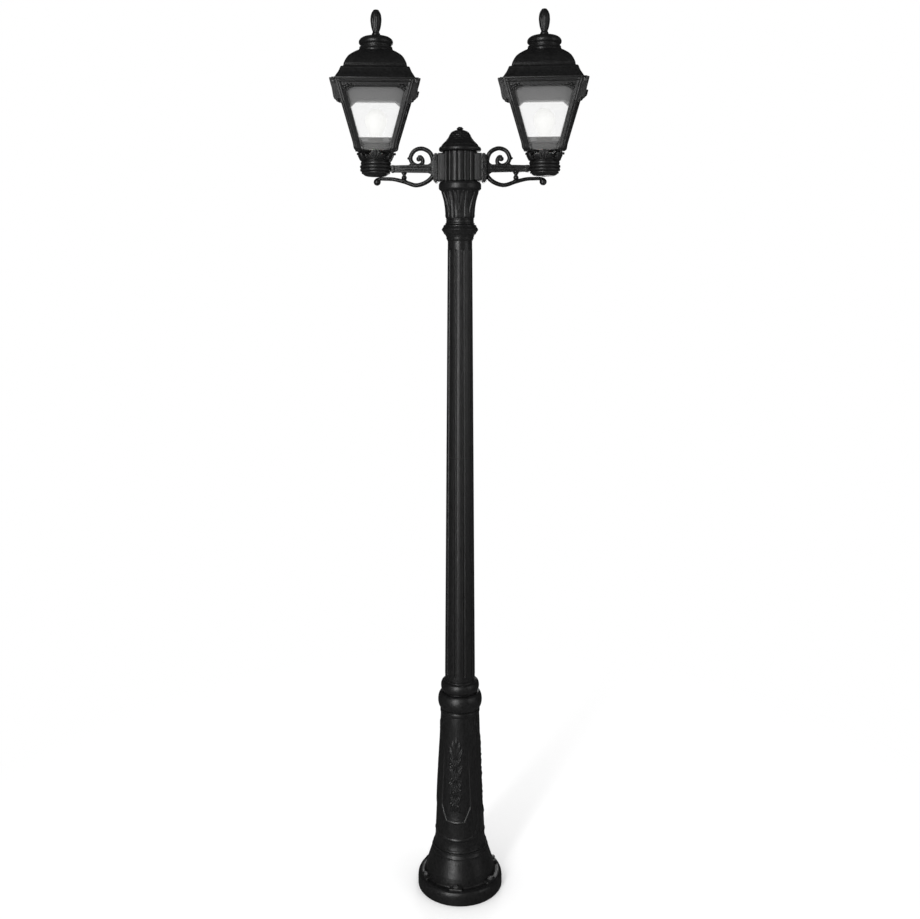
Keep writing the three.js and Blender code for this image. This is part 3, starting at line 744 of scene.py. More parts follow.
def build_shaft():
    """Two tapered lengths with round-ended grooves that run on across the seam."""
    foot, seam, top = low("lower_shaft")[2], high("lower_shaft")[2], high("upper_shaft")[2]
    start, stop = foot + 15, top - 24
    foot_radius = high("lower_shaft")[0]
    taper = (foot_radius - SHAFT_TOP_RADIUS) / (top - foot)

    def flutes(angle, z, radius):
        s = around(angle, FRONT + pi / FLUTES, FLUTES) * radius
        past = np.maximum(np.maximum(start + FLUTE_HALF - z, z - stop + FLUTE_HALF), 0)
        away = np.hypot(s, past)
        lip = 0.35 * np.exp(-(((away - FLUTE_HALF - 0.7) / 0.8) ** 2))
        return np.where(radius > 33, lip - FLUTE_DEEP * dome(away / FLUTE_HALF), 0)

    for name, z0, z1 in (("lower_shaft", foot, seam), ("upper_shaft", low("upper_shaft")[2], top)):
        heights = {z0, z0 + 0.3, z0 + 1.5, z1 - 1.5, z1 - 0.3, z1, *np.arange(z0 + 10, z1 - 5, 40)}
        for end in (start, stop):
            if z0 <= end <= z1:
                heights |= {end + d for d in np.arange(-6, 6.1, 0.75)}
        skin = [(foot_radius - taper * (z - foot) - (0.25 if z in (z0, z1) else 0), z)
                for z in sorted(heights)]
        skin += [(skin[-1][0] - SHAFT_WALL, z1), (skin[0][0] - SHAFT_WALL, z0)]
        place(revolved(f"{name}_look", skin, 360, flutes), "post", name)


def build_shaft_collar():
    """A pointed ring round the top of the shaft, stepped with fine lines."""
    turned_piece("shaft_collar", "post", dense(rounded(pairs(
        26, 0, 35.2, 0, 36.6, 4.5, 37.8, 5, 38.4, 8.5, 37.7, 9.6, 38.4, 11, 40, 15.7, 42.8, 18.6,
        44.3, 19.2, 45.8, 22.7, 50.6, 30, 51.6, 31.7, 50.6, 33.4, 48, 38.2, 46.2, 39.6, 46.6, 42,
        44.4, 44.7, 40.6, 46.4, 41.4, 49.4, 39, 50.8, 38.6, 55, 38.6, 59.3, 26, 59.3), 0.9), 2), 144)


CAPITAL_LEAVES = 8


def capital_relief(angle, z, radius):
    """Broad leaves side by side, each split by a V that opens towards the top round a slim blade."""
    turn = np.abs(around(angle, FRONT + radians(-4), CAPITAL_LEAVES))
    edge = unit(1 - turn / (pi / CAPITAL_LEAVES))
    low_round = np.sqrt(ramp(z, 3, 8))
    s = turn * radius
    opening = ramp(z, 16, 60) ** 1.3 * 11.5
    cleft = np.clip(opening + 1.2 - s, 0, 1.2) / 1.2 * np.clip(z / 25, 0.35, 1)
    blade = 2.2 * unit(1 - (s / (opening * 0.55 + 0.3)) ** 2) * ramp(z, 34, 20)
    rim = 0.9 * np.exp(-(((s - opening - 2.2) / 1.2) ** 2))
    body = 3.2 * np.sqrt(unit(edge * 3.0)) * low_round
    out = (body - 2.8 * cleft + blade + rim * low_round - 2.4) * ramp(z, 79, -3)
    return np.where((radius > 38) & (z > 1.5) & (z < 80), out, 0)


def build_capital():
    skin = rounded(pairs(26, 0, 39, 0, 40, 1), 0.5)
    skin += dense(pairs(40.4, 2, 39.6, 16, 41, 35, 43.9, 52, 48.6, 68, 52.6, 79), 1.2)
    skin += rounded(pairs(
        53.4, 80.4, 56, 82, 58.4, 84.6, 59.5, 87, 59.5, 98, 58.6, 101, 56.8, 103, 56.4, 105, 26, 105), 1.2)
    turned_piece("capital", "post", skin, 320, capital_relief)


# ---- hub
HUB_RIBS = 16
CAP_SCALES = 14
SCALE_PITCH = 6.4


def build_hub():
    """A drum of round ribs with a flat pad on each side for the arms."""
    bottom = low("hub")[2]
    height = high("hub")[2] - bottom
    skin = rounded(pairs(
        44, 0, 47, 0, 48.4, 1.2, 49, 2.6, 49, height - 2.6, 48.4, height - 1.2, 47, height), 1)

    def ribs(angle, z, radius):
        turn = around(angle, FRONT + radians(-8) + pi / HUB_RIBS, HUB_RIBS)
        across = np.abs(turn) * HUB_RIBS / pi
        round_rib = np.sqrt(unit(1 - (across / 0.93) ** 4))
        return np.where(radius > 46.5, -4.6 * (1 - round_rib), 0)

    wall = pairs(40, height, 40, 4.7, 24.8, 4.7, 24.8, 0)
    drum = revolved("drum", dense(skin, 6) + wall, 384, ribs, bottom=bottom)
    pad = [block(41, 61, -25, 25, 1958, 2035), block(41, 56.5, -28.5, 28.5, 1959.5, 2033.5)]
    pads = [softened(united("pad", turned_parts(pad, turn)), 1.3) for turn in (0, 180)]
    inside = united("inside", [
        block(-13, 13, -41.5, 41.5, 1996, 2000), block(-7, 7, 26.5, 41.5, 1959.5, 1974)])
    place(merge("hub_look", drum, *pads, inside), "head", "hub")


def build_hub_cap():
    """A pointed cap whose skirt rolls in at the rim and whose crown is scaled like a cone."""
    skin = dense(rounded(pairs(
        44, 0, 57, 0, 58.6, 2, 59.5, 5.6, 58.8, 9, 56.2, 12.2, 53.2, 13.2, 52.6, 14.4, 50.6, 18, 44, 25,
        38.6, 30.4, 38.2, 32, 36, 34.4, 32.9, 38.5, 30.6, 43, 28.6, 47.5, 25.8, 51.6, 22.5, 55,
        16, 58.4, 4.6, 61), 1.2), 1.1)
    wall = pairs(4.6, 55, 18, 51, 30, 31, 44, 11)
    outside = np.arange(len(skin) + len(wall))[:, None] < len(skin)

    def scales(angle, z, radius):
        row = np.floor(z / SCALE_PITCH)
        turn = around(angle + (row % 2) * pi / CAP_SCALES, FRONT, CAP_SCALES)
        across = np.abs(turn) * CAP_SCALES / pi
        tip = unit(1.15 - across**2 * 0.7 - (z / SCALE_PITCH - row) * 0.6)
        on_crown = ramp(z, 31, 3) * ramp(z, 58, -4) * ramp(radius, 14, 8)
        leaves = 1.5 * np.cos(turn * 7) * ramp(z, 15, 5) * ramp(z, 30, -4)
        shown = outside & (z > 13) & (radius > 4.7)
        return np.where(shown, 1.1 * (tip - 0.6) * on_crown + 0.4 * leaves, 0)

    turned_piece("hub_cap", "head", skin + wall, 288, scales)
    turned_piece("hub_cap_knob", "head", rounded(pairs(
        0.02, 0, 4, 0, 4, 21.7, 7.4, 21.9, 9.4, 23.2, 9.6, 24.6, 8.8, 26.4, 7.6, 27, 6.9, 27.8,
        5.2, 29.4, 2.5, 30.1, 0.02, 30.2), 0.7), 64)


# ---- arms
BORE_Z = 1992
ARM_BOLTS_Z = (1968, 2022)


def curl(points, start, end, flat=1.35, count=70, sides=18):
    """A scrolled band along a curve, tapering between two half-thicknesses."""
    path = smooth_path([(x, 0, z) for x, z in points], count)
    return swept(path, np.linspace(start, end, count), flat, sides)


def build_arms():
    """One casting: wall plate, bar, upper volute, lower bow and the link between them."""
    plate = slab(pairs(
        61.3, 1957, 64, 1953.4, 69, 1953, 71, 1956, 74, 1958.5, 74, 2029.5, 71.5, 2032, 70.5, 2034.6,
        65, 2035, 61.3, 2033), 44)
    shoulder = slab(pairs(70, 1968, 77.5, 1974, 79.6, 1984, 79.6, 2004, 77.6, 2016, 70, 2024), 24)
    bar = slab(pairs(70, 1981.4, 200, 1983.2, 200, 2001.6, 70, 2005), 18)
    socket = slab(pairs(184, 1982, 200, 1982, 200, 2003, 184, 2002.4), 21)
    volute = curl(pairs(
        75, 2004, 78, 2026, 88, 2041.6, 108, 2049.6, 128, 2043.2, 138.6, 2025, 133.4, 2009, 119, 2001.6,
        106.4, 2007, 104.4, 2017, 110, 2025.6, 117, 2025), 6.4, 5.3)
    bow = curl(pairs(
        72, 1988, 77.5, 1970.5, 96, 1954.4, 123.5, 1946.6, 155, 1956, 185.4, 1963.4, 211.4, 1964.6,
        228, 1964.2, 235.6, 1960, 234, 1953.6), 6.9, 4.3)
    link = [rod("z", 4.6, 1958, 1986, (156.5, 0)), *(
        sphere(r, (156.5, 0, z), (1, 1, tall))
        for r, z, tall in ((7.6, 1968, 0.92), (7.2, 1979.4, 0.6), (9.6, 1983.4, 0.45), (9.4, 1958.6, 0.5))
    )]
    tips = [
        sphere(7.3, (115.4, 0, 2020.4)), sphere(10.2, (232.4, 0, 1955.8)),
        sphere(4.8, (143.4, 0, 2022), (1, 1, 0.8)), sphere(3.6, (85.5, 0, 2039), (1, 1.3, 1)),
    ]
    fillets = [
        slab(pairs(120, 2000, 148, 2000, 141, 2005.6, 138, 2013, 131, 2009, 125, 2005), 12),
        slab(pairs(92, 2001, 110, 2001, 107, 2010, 101, 2010, 99, 2005), 12),
        slab(pairs(74, 2003, 92, 2003, 83, 2009, 81, 2019, 75, 2019), 13),
        slab(pairs(74, 1984, 92, 1983, 83, 1978, 80, 1971, 75, 1973), 13),
    ]
    arm = cast(united("arm", [plate, shoulder, bar, socket, volute, bow, *link, *tips, *fillets]), 0.8, 3)
    groove_arm(arm)
    seat = low("right_cup")[2] - 0.3
    carve(arm, [
        rod("z", 45.1, seat, seat + 60, (middle("right_stem")[0], 0), 96),
        rod("x", 5, 50, 200, (0, BORE_Z), 32),
        *(rod("x", 4.2, 50, 71.5, (0, z), 24) for z in ARM_BOLTS_Z),
    ], use_self=True)
    placed_pair(shade_smooth(arm), "arm", "head", on_arm=True)
    for side in ("left", "right"):
        bpy.data.objects[f"{side}_arm_look"].data.materials[0] = SMOOTHER_BLACK


def groove_arm(arm):
    """Sinks two lines along the bar and one round the plate's face."""
    verts = np.array([v.co for v in arm.data.vertices]) / MM
    x, y, z = verts.T
    on_bar = (np.abs(y) > 6.5) & (x > 76) & (x < 182) & (np.abs(z - 1992.6) < 9)
    for line_z in (1988.6, 1996.8):
        line = np.exp(-(((z - line_z) / 1.1) ** 2)) * on_bar * ramp(x, 76, 4) * ramp(x, 182, -30)
        verts[:, 1] -= np.sign(y) * 1.1 * line
    on_plate = (x > 72) & (np.abs(y) > 10)
    rim = np.minimum.reduce([22 - np.abs(y), 2029 - z, z - 1959])
    verts[:, 0] -= 0.9 * np.exp(-(((rim - 4.2) / 0.9) ** 2)) * on_plate
    arm.data.vertices.foreach_set("co", (verts * MM).ravel())
    arm.data.update()


def build_arm_bolts():
    for name in ("arm_bolt_lower", "arm_bolt_upper"):
        x0, x1, z = low(f"right_{name}")[0], high(f"right_{name}")[0], middle(f"right_{name}")[2]
        steps = pairs(5.6, x0, 6.5, x0 + 0.8, 6.5, x0 + 5.4, 6.3, x0 + 5.6)
        head = new_object("head", *bar_along("x", steps, (0, z), 6), smooth=False)
        shank = new_object("shank", *rod("x", 3.75, x0 + 5, x1, (0, z), 32))
        placed_pair(merge(name, softened(head, 0.4, 2), shank), name, "head", "bright_steel", on_arm=True)


def build_cups():
    """A ringed cup with a dished bottom."""
    skin = rounded(pairs(6.4, 0, 14, 0, 24, 0.4, 30, 2.0, 34, 4.4, 36.6, 7), 2)
    skin += [*bead(37.6, 7.4, 13.4, 2.6, 7), *bead(40.8, 13.8, 22.4, 3.4, 9)]
    skin += [*bead(41.4, 22.8, 31.8, 3.4, 9), *bead(39.8, 32.4, 41.4, 2.9, 9)]
    skin += rounded(pairs(40, 41.8, 40.6, 43, 36, 43, 36, 17, 28, 8, 6.4, 8), 0.8)
    centre = (middle("right_stem")[0], 0)
    cup = revolved("cup", dense(skin, 1.6), 160, bottom=low("right_cup")[2], at=centre)
    placed_pair(cup, "cup", "head", on_arm=True)


# ---- lanterns, round their own axis
CAGE_TOP = 2226
CAGE_TOP_HALF = 109.8
CAGE_SLOPE = 0.2855
POST_FEET = ((0, 2038), (90, 2046), (180, 2046), (270, 2038))
CROWN_FACE = 48.4
ROOF_BOTTOM = 2228


def cage_half(z):
    return CAGE_TOP_HALF - CAGE_SLOPE * (CAGE_TOP - z)


def handed(way, outline):
    """An outline, or for a way of -1 its mirror image."""
    return [(way * x, z) for x, z in outline][::way]


def tuck_in(z):
    """How far the crown's leaves draw in towards their foot."""
    return 0.52 * max(0.0, 2028 - z)


def curved_plate(outline, thickness, radius):
    """A slab bent round the lantern axis so that it hugs a bowl of a radius, tucked in at its foot."""
    def bend(x, y, z):
        y += tuck_in(z)
        return -y * sin(x / radius), y * cos(x / radius), z
    return shifted(slab(outline, thickness, -radius), bend)


def build_crowns():
    """The leafy seat under each lantern: a bowl, four leaves and four scrolled corner feet."""
    bowl = loft([circle(r, z, 96) for r, z in pairs(
        6.6, 2014.3, 40.4, 2014.3, 40.2, 2015.6, 42.8, 2018.4, 45, 2021.6, 46.4, 2025.6, 46, 2029,
        43.8, 2030.6, 42.2, 2029, 42.4, 2026, 40.6, 2022.6, 36, 2020.6, 6.6, 2020.6)], closed_path=True)
    leaf_half = pairs(
        0, 2015, 5, 2016, 10.4, 2019, 14.6, 2023.4, 16, 2027.6, 13.4, 2031.6, 14, 2035.4, 10.8, 2038.6,
        6.8, 2038.2, 4.6, 2041.4, 0, 2042.4)
    side_lobe = pairs(
        15, 2017.6, 21, 2018.6, 26.6, 2022.4, 29.6, 2027.4, 29, 2031.6, 25.6, 2029.6, 22, 2027, 17.6, 2027)

    def on_leaf(line, bulge=0.0):
        return shifted(line, lambda x, y, z: (x, y - CROWN_FACE + tuck_in(z) + bulge * x * x, z))

    rib = on_leaf(curl(pairs(0, 2015.5, 0, 2028, 0, 2040.6), 2.6, 1.8, 1.0, 20, 10))
    veins = [on_leaf(curl(pairs(0, 2018, way * 7, 2026, way * 11.4, 2035.6), 1.7, 1.2, 1.0, 16, 8), 1 / 110)
             for way in (-1, 1)]
    one_side = [
        curved_plate(leaf_half + [(-x, z) for x, z in leaf_half[-2:0:-1]], 5, 46.8), rib, *veins,
        *(curved_plate(handed(way, side_lobe), 4.6, 46) for way in (1, -1)),
    ]
    foot = curl(pairs(41, 2019, 48, 2016.8, 54.6, 2020, 58.6, 2026.6, 61, 2033), 3.9, 3.3, 2.2, 30, 16)
    corner_feet = turned_parts([
        foot, sphere(4.0, (49.6, 0, 2023.4), (1, 1.8, 1)), block(48, 58, -5, 5, 2031.4, 2035.6)], 45)
    crown = united("crown", [bowl, *quarter_turns(one_side), *quarter_turns(corner_feet)])
    placed_pair(cast(crown, 0.65, 2), "crown", "{}_lantern")


def cage_post(foot):
    """The corner post at +X, -Y: an angle with two grooves down each face, broader at the top."""
    rings = []
    thick = 7
    steps = pairs(1, 2.6, 0.8, 2.6, 0.77, 1.2, 0.6, 1.2, 0.57, 0, 0.44, 0, 0.41, 2.2, 0.33, 2.2, 0.3, 0)
    for z in [*(foot + np.array([0, 1, 3, 6, 10, 14, 18, 22])), *np.linspace(foot + 30, CAGE_TOP, 6)]:
        w = 20.0 + 3.2 * (z - 2036) / (CAGE_TOP - 2036)
        tuck = 4.4 * max(0, 1 - (z - foot) / 6) ** 2
        half = cage_half(z) + 1.6 * exp(-(((z - foot - 8) / 8) ** 2)) - tuck
        across = [(w * u, v) for u, v in steps]
        section = [*across, (4.4, 0), (1.3, 1.3), (0, 4.4), *[(v, u) for u, v in across[::-1]]]
        section += [(thick, w), (thick + 0.6, thick + 0.6), (w, thick)]
        rings.append([(half - u, -(half - v), z) for u, v in section])
    return fill_ends(*loft(rings), len(rings[0]))


def face_slab(outline, thickness, sunk=0.0):
    """A plate against the leaning front face, from an (x, z) outline; sunk sets it back."""
    return shifted(slab(outline, thickness), lambda x, y, z: (
        x, y - cage_half(z) + thickness / 2 + sunk, z))


def window_corner(way):
    """The scrolled bracket that fills a top corner of a window."""
    inner = cage_half(2209) - 22.5
    plate = [(inner - u, z) for u, z in pairs(
        -6, 2212, 27, 2212, 26, 2206, 20, 2203.6, 15, 2203, 9, 2198.4, 4, 2193.4, 2, 2188, -1, 2182,
        -3, 2182)]
    scroll = [sphere(r, (way * (inner - u), -cage_half(z) - 0.2, z), (1, 0.7, 1))
              for r, u, z in ((4.6, 7.6, 2208.6), (3.2, 16, 2210.4), (3.0, 1.6, 2200.6))]
    return [face_slab(handed(way, plate), 4.6, 2.4), *scroll]


def ear(way, foot):
    """The plate at a top corner that stands out past the roof; the roof is locked to the front ones."""
    head = pairs(120.2, 2214, 123.2, 2226, 123.2, 2229.4, 110.2, 2229.4, 110.2, 2225.6, 94, 2225.6)
    return face_slab(handed(way, foot + head), 6.8, 0.4)


def build_cages():
    """Four grooved posts on a spoked floor, a moulded rail, brackets, ears and hinge knuckles."""
    corners = [*window_corner(1), *window_corner(-1)]
    rails = [
        face_slab(pairs(-94, 2209.4, 94, 2209.4, 96, 2226, -96, 2226), 13, 1.2),
        face_slab(pairs(-98, 2219.6, 98, 2219.6, 99, 2222.2, -99, 2222.2), 3, -0.9),
        face_slab(pairs(-86, 2208.4, 86, 2208.4, 87, 2211.4, -87, 2211.4), 5, 0.2),
    ]
    lowered = [shifted(part, lambda x, y, z: (x, y, z - 9)) for part in corners]
    deep_rail = face_slab(pairs(-86, 2200, 86, 2200, 90, 2212, -90, 2212), 6, 2.4)
    posts = [post for turn, foot in POST_FEET for post in turned_parts([cage_post(foot)], turn)]
    spoke = turned_parts([block(24, 72, -7.4, 7.4, 2036, 2042.7)], 45)
    floor_ring = loft([circle(r, z, 64) for r, z in pairs(
        20.4, 2036, 28.4, 2036, 28.4, 2042.7, 20.4, 2042.7)], closed_path=True)
    front_foot = pairs(
        84, 2168, 90, 2164, 97, 2164, 102.6, 2167.4, 106.4, 2171.4, 110.6, 2174, 113.2, 2180, 116.8, 2202)
    rear_foot = pairs(94, 2206, 112.6, 2206, 118.6, 2211)
    ears = [ear(way, front_foot) for way in (1, -1)]
    ears += [shifted(ear(way, rear_foot), lambda x, y, z: (x, -y, z)) for way in (1, -1)]
    curls = [sphere(5.0, (way * 100.6, -cage_half(2171) + 0.8, 2170.4), (1, 0.75, 1)) for way in (-1, 1)]
    y, z = hinge_line()
    knuckles = []
    for x0, x1 in ((-27.7, -16.3), (16.3, 27.7)):
        knuckles += [rod("x", 4.5, x0, x1, (y, z), 40), block(x0, x1, 104, y, 2216, 2225),
                     block(x0, x1, y - 4.2, y + 3, 2220, z)]
    cage = cast(united("cage", [
        floor_ring, *quarter_turns(spoke), *quarter_turns(rails), *corners, *turned_parts(corners, 90),
        *turned_parts(corners, 270), *turned_parts([*lowered, deep_rail], 180), *posts, *ears, *curls,
        *knuckles,
    ]), 0.85, 2)
    slots = [block(x0, x1, -116, -98, 2215.8, 2238) for x0, x1 in ((-115.3, -109.5), (109.5, 115.3))]
    carve(cage, [rod("x", 2.8, -40, 40, (y, z), 24), *slots])
    placed_pair(cage, "cage", "{}_lantern")


def build_diffusers():
    """A four-sided moulded shade with a ribbed square neck in two steps."""
    skin = pairs(38.2, 0.3, 38.8, 1)
    for z in (3, 8, 13):
        skin += pairs(38.8, z, 39.8, z + 1, 39.8, z + 2.6, 38.8, z + 3.6)
    skin += pairs(
        41.6, 16, 43.6, 17, 44.4, 18.4, 44.4, 26.8, 45.4, 28.6, 48.6, 30.8, 49, 31.4, 88.8, 162,
        88.8, 165.3, 86, 165.3, 85.9, 162.3, 46.2, 33, 41, 28, 41, 18.6, 36, 15, 36, 0.3)
    shade = squared("diffuser", dense(rounded(skin, 0.6, 3), 8), lambda half, z: 5 + half * 0.08,
                    low("right_diffuser")[2])
    placed_pair(shade, "diffuser", "{}_lantern", "opal_diffuser")


def build_roofs():
    """A bell-shaped roof, with its round neck, hinge knuckle and locking tabs."""
    skin = dense(rounded(pairs(
        105, 0, 109, 0, 109.5, 0.6, 109.5, 3.2, 109, 4.6, 107.2, 6.4, 106.8, 7.6, 103.6, 13, 100.8, 17.6,
        98.4, 22.4, 95.6, 29.4, 94.6, 32.6, 93.4, 35, 91.4, 36.2, 88, 36.6, 87.2, 37.8, 86.6, 40,
        85.4, 47, 82, 56, 78.8, 63, 74.4, 70.4, 68, 77.6, 59.6, 85, 53, 90.2, 49.6, 91.4, 33, 91.5,
    ), 1.2), 2.2)
    wall = pairs(33, 87, 56, 83, 71, 66, 79.6, 44, 81.6, 33, 90, 29, 99.4, 12)
    shell = squared("roof_shell", skin + wall,
                    lambda half, z: 2.6 + 24 * max(0.0, (z - 37) / 54) ** 1.5, ROOF_BOTTOM)
    neck = revolved("roof_neck", rounded(pairs(
        30, 85, 50, 85, 50, 93, 49.6, 96.4, 47.6, 99.4, 46.6, 102, 46.4, 105.9, 30, 105.9,
    ), 1.0, closed=True), 120, bottom=ROOF_BOTTOM)
    y, z = hinge_line()
    top = 2233.5
    parts = [rod("x", 4.5, -16, 16, (y, z), 40), block(-16, 16, 106, y, ROOF_BOTTOM + 0.6, top),
             block(-34, 34, -5, 5, 2320, 2326)]
    for x0, x1, inner in ((-118, -106, -110.3), (106, 118, 110.3)):
        tab = (x0, inner) if inner < 0 else (inner, x1)
        parts += [block(x0, x1, -96, -89, ROOF_BOTTOM + 0.3, top), block(*tab, -96, -89, 2213, 2230)]
    fittings = softened(united("roof_fittings", parts), 0.8, 2)
    placed_pair(merge("roof", shell, neck, fittings), "roof", "{}_lid")


def build_chimneys():
    turned_pair("chimney_cap", "{}_lid", dense(rounded(pairs(
        38, 0, 42.4, 0, 42.6, 2.6, 43.6, 5, 46.8, 8, 48, 10.6, 48.2, 14.6, 47, 18.6, 44, 22.4, 41.2, 24.4,
        39.6, 25.6, 37, 27, 28, 29.6, 18, 31.2, 13, 31.6, 4.6, 31.7, 4.6, 28, 30, 23, 38, 12,
    ), 1.4, closed=True), 2.4), 144, closed=True)


PETALS = 6
PETALS_SPAN = (61.5, 118)


def petals(angle, z, radius):
    """Two tiers of petals that overlap round the bud, the lower ones with a rib."""
    first, last = PETALS_SPAN
    lower = around(angle, FRONT, PETALS)
    upper = around(angle, FRONT + pi / PETALS, PETALS)
    up = ramp(z, first, last - first)
    low_petal = unit(unit(1 - ((up - 0.28) / 0.45) ** 2) ** 0.5 * 0.95 - np.abs(lower) / (pi / PETALS))
    top_petal = dome(np.abs(upper) / (pi / PETALS))
    rib = 0.35 * np.exp(-((lower * radius / 0.9) ** 2)) * (low_petal > 0.05)
    out = 1.2 * np.sqrt(unit(low_petal * 4)) + 1.3 * top_petal - 1.7 + rib
    return np.where((z > first) & (z < last), out, 0)


def build_finials():
    """A bud of overlapping petals on a turned foot."""
    foot = rounded(pairs(
        0.02, 0, 4, 0, 4, 48.4, 10.6, 48.6, 11.8, 50, 11.9, 52.6, 11.2, 54.8, 9.9, 56, 9.4, 58, 9.4, 61), 0.8)
    bud = smooth_path(pairs(
        9.7, 62, 12.3, 71, 14.2, 82, 15.6, 94, 15.4, 103, 13.4, 110.6, 10.4, 116.4, 8.4, 118.2), 60)
    tip = rounded(pairs(8.2, 118.6, 8, 120, 5.6, 121.4, 0.02, 122), 0.8)
    turned_pair("finial", "{}_lid", [*dense(foot, 4), *bud, *tip], 120, petals)


# ---- fasteners and lamps
def laid_down(piece, axis, spot):
    """Lays a turned piece along an axis, with its foot at a place in millimetres."""
    turn = Matrix.Rotation(pi / 2, 4, axis)
    piece.data.transform(Matrix.Translation([c * MM for c in spot]) @ turn)
    return piece


def build_roof_screws():
    """Domed screws with a sunk cross that hold each roof shut."""
    for which in ("left", "right"):
        first, last = lantern_box(f"right_roof_screw_{which}")
        length = last[1] - first[1]
        crown = [(4.55 * cos(t), length - 2.6 + 2.6 * sin(t)) for t in np.linspace(0, pi / 2, 14)[:-1]]
        outline = pairs(0.02, 0, 2, 0, 2.25, 0.6, 2.25, length - 3.7, 4.4, length - 3.7) + crown
        outline += [(r, length - 0.05 * (1 - r)) for r in (0.4, 0.02)]
        screw = revolved("screw", dense(outline, 0.5), 56)
        verts = np.array([v.co for v in screw.data.vertices]) / MM
        x, y, z = np.abs(verts).T
        cross = (np.minimum(x, y) < 0.75) & (np.maximum(x, y) < 2.7) & (verts[:, 2] > z.max() - 1.6)
        verts[cross, 2] -= 0.9
        screw.data.vertices.foreach_set("co", (verts * MM).ravel())
        laid_down(screw, "X", ((first[0] + last[0]) / 2, last[1], (first[2] + last[2]) / 2))
        placed_pair(screw, f"roof_screw_{which}", "{}_lid", "black_screw")


def build_hinge_pins():
    first, last = lantern_box("right_hinge_pin")
    length = last[0] - first[0]
    outline = rounded(pairs(
        0.02, 0, 2.8, 0, 4, 0.9, 4, 3.2, 3.4, 3.5, 2.4, 3.5, 2.4, length - 0.6, 1.8, length, 0.02, length,
    ), 0.5)
    pin = laid_down(revolved("pin", outline, 40), "Y", (first[0], *hinge_line()))
    placed_pair(pin, "hinge_pin", "{}_lantern", "bright_steel")


def build_lamps():
    """A glazed holder with a frosted bulb screwed into it."""
    turned_pair("lamp_holder", "{}_lantern", rounded(pairs(
        6.4, 0, 19, 0, 19.5, 1, 19.5, 14, 23.2, 14, 23.5, 15, 23.5, 16.6, 20, 18, 20, 30, 19, 31.4,
        19, 33, 20, 34.4, 20, 43, 21.5, 45, 21.5, 49, 14.4, 49, 14.4, 17, 6.4, 15,
    ), 0.6, closed=True), 80, finish="holder_ceramic", closed=True)
    thread = pairs(0.02, 0, 4.6, 0, 5.4, 1, 9, 3.4, 12.2, 5.8)
    thread += [(12.9 + 0.55 * sin(z * TURN / 3.6), z) for z in np.arange(7, 27, 0.6)]
    thread += pairs(13.2, 28.4, 13.4, 31.4, 0.02, 31.4)
    turned_pair("bulb_base", "{}_bulb", thread, 64, finish="bright_steel")
    glass = smooth_path(pairs(
        14, 0.2, 14.6, 5, 19, 16, 25.4, 29, 29.4, 42, 29.6, 54, 25, 68, 16, 78, 6, 82.6, 0.02, 83.2), 60)
    turned_pair("bulb_glass", "{}_bulb", [(0.02, 0), (13.4, 0), *glass], 96, finish="bulb_glass")


# ---- floor, light and camera
CAMERA_DISTANCE, CAMERA_HEIGHT, CAMERA_TURN = 2.829, 1.726, radians(1.5)
LENS_SHIFT = -0.2125
LIT_IN_REFLECTIONS = 0.03


def build_floor():
    """A pale matt ground that brightens to plain white with distance, and is dim in reflections."""
    s = new_material("pale_floor")
    mirrored = s.node("LightPath").outputs["Is Glossy Ray"]
    pale = s.mix(s.noise(6, 4), grey(0.92), grey(0.92 * (1 - 0.02)))
    colour = s.mix(mirrored, pale, grey(0.05))
    ground = s.first("BsdfPrincipled", {"Base Color": colour, "Roughness": 0.7})
    white = s.first("Emission", {"Strength": s.spread(mirrored, 1.0, LIT_IN_REFLECTIONS, 0, 1)})
    reach = s.node("VectorMath", {0: s.spot}, operation="LENGTH").outputs["Value"]
    s.finish(s.first("MixShader", {0: s.spread(reach, 0, 1, 0.35, 1.7), 1: ground, 2: white}))
    size, depth = 60.0, -0.0005
    mesh = bpy.data.meshes.new("floor")
    corners = pairs(-size, -size, size, -size, size, size, -size, size)
    mesh.from_pydata([(x, y, depth) for x, y in corners], [], [(0, 1, 2, 3)])
    mesh.materials.append(s.owner)
    linked("floor", mesh)


def light_world():
    """White to the camera and to matt surfaces, and nearly dark in reflections."""
    scene = bpy.context.scene
    scene.world = bpy.data.worlds.new("studio")
    s = Shader(scene.world)
    mirrored = s.node("LightPath").outputs["Is Glossy Ray"]
    strength = s.spread(mirrored, 1.0, LIT_IN_REFLECTIONS, 0, 1)
    s.finish(s.first("Background", {"Color": grey(1.0), "Strength": strength}), "OutputWorld")
    scene.view_settings.view_transform = "Standard"


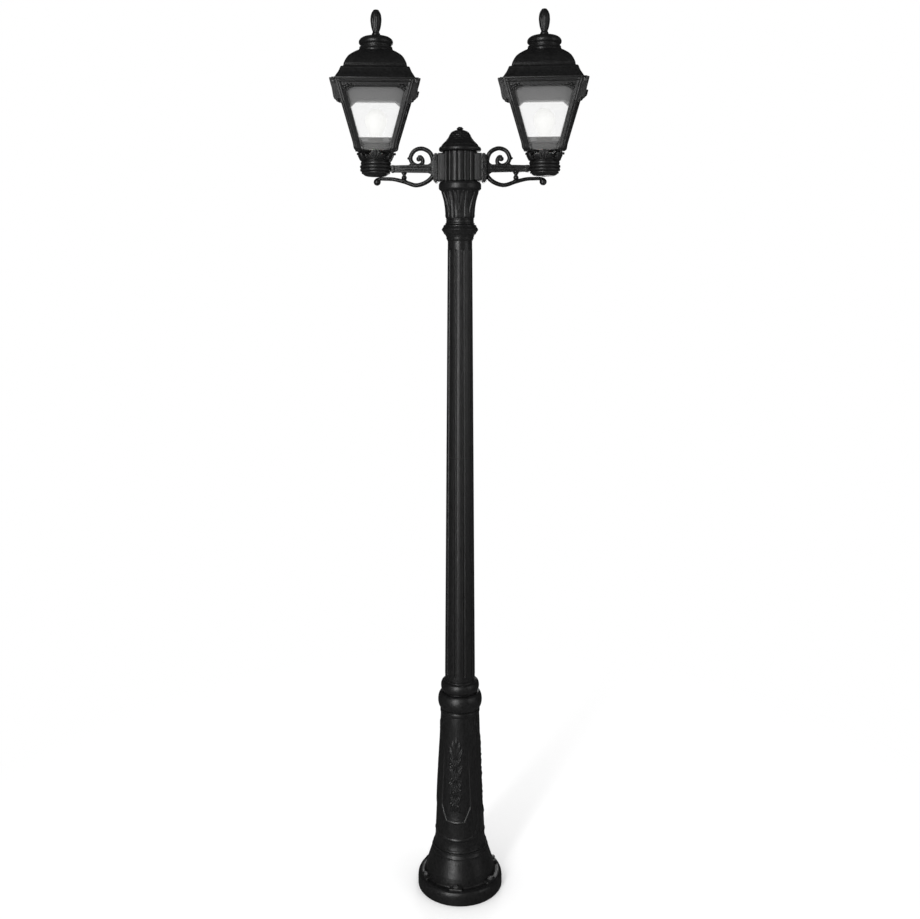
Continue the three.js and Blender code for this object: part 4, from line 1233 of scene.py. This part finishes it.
def soft_light(name, spot, aim_height, width, height, power):
    """A tall panel that faces the post and doesn't show in the picture."""
    lamp = bpy.data.lights.new(name, "AREA")
    lamp.shape = "RECTANGLE"
    lamp.size, lamp.size_y = width, height
    lamp.energy = power
    panel = linked(name, lamp)
    panel.location = spot
    panel.rotation_euler = (Vector((0, 0, aim_height)) - Vector(spot)).to_track_quat("-Z", "Y").to_euler()
    panel.visible_camera = False


def light_studio():
    soft_light("key", (-1.35, -3.2, 1.85), 1.2, 0.42, 3.6, 84)
    soft_light("fill", (3.4, -1.6, 2.0), 1.3, 0.8, 3.0, 13)
    soft_light("back", (0.3, 4.0, 1.9), 1.3, 0.9, 3.4, 24)


def place_camera():
    """A level camera at head height; its lens shift lets it take in the post down to the foot."""
    lens = bpy.data.cameras.new("camera")
    lens.sensor_width, lens.lens = 36.0, 39.52
    lens.clip_start, lens.clip_end = 0.05, 200
    camera = linked("camera", lens)
    camera.location = (
        CAMERA_DISTANCE * sin(CAMERA_TURN), -CAMERA_DISTANCE * cos(CAMERA_TURN), CAMERA_HEIGHT)
    camera.rotation_euler = (pi / 2, 0, CAMERA_TURN)
    bpy.context.scene.camera = camera
    # The shift belongs to this place only: a camera moved to another height is centred.
    driver = lens.driver_add("shift_y").driver
    driver.type = "SCRIPTED"
    here = driver.variables.new()
    here.name, here.type = "height", "TRANSFORMS"
    target = here.targets[0]
    target.id, target.transform_type, target.transform_space = camera, "LOC_Z", "WORLD_SPACE"
    driver.expression = f"{LENS_SHIFT} if abs(height - {CAMERA_HEIGHT}) < 0.001 else 0"


# ---- scene
for part in frame["record"]["subparts"]:
    give_finish(frame["nodes"][part["node"]], part["material_slot"])
for build in (
    build_foot, build_anchor_bolts, build_column, build_collar, build_shaft, build_shaft_collar,
    build_capital, build_hub, build_hub_cap, build_arms, build_arm_bolts, build_cups, build_crowns,
    build_cages, build_diffusers, build_roofs, build_chimneys, build_finials, build_roof_screws,
    build_hinge_pins, build_lamps, build_floor, light_world, light_studio, place_camera,
):
    build()
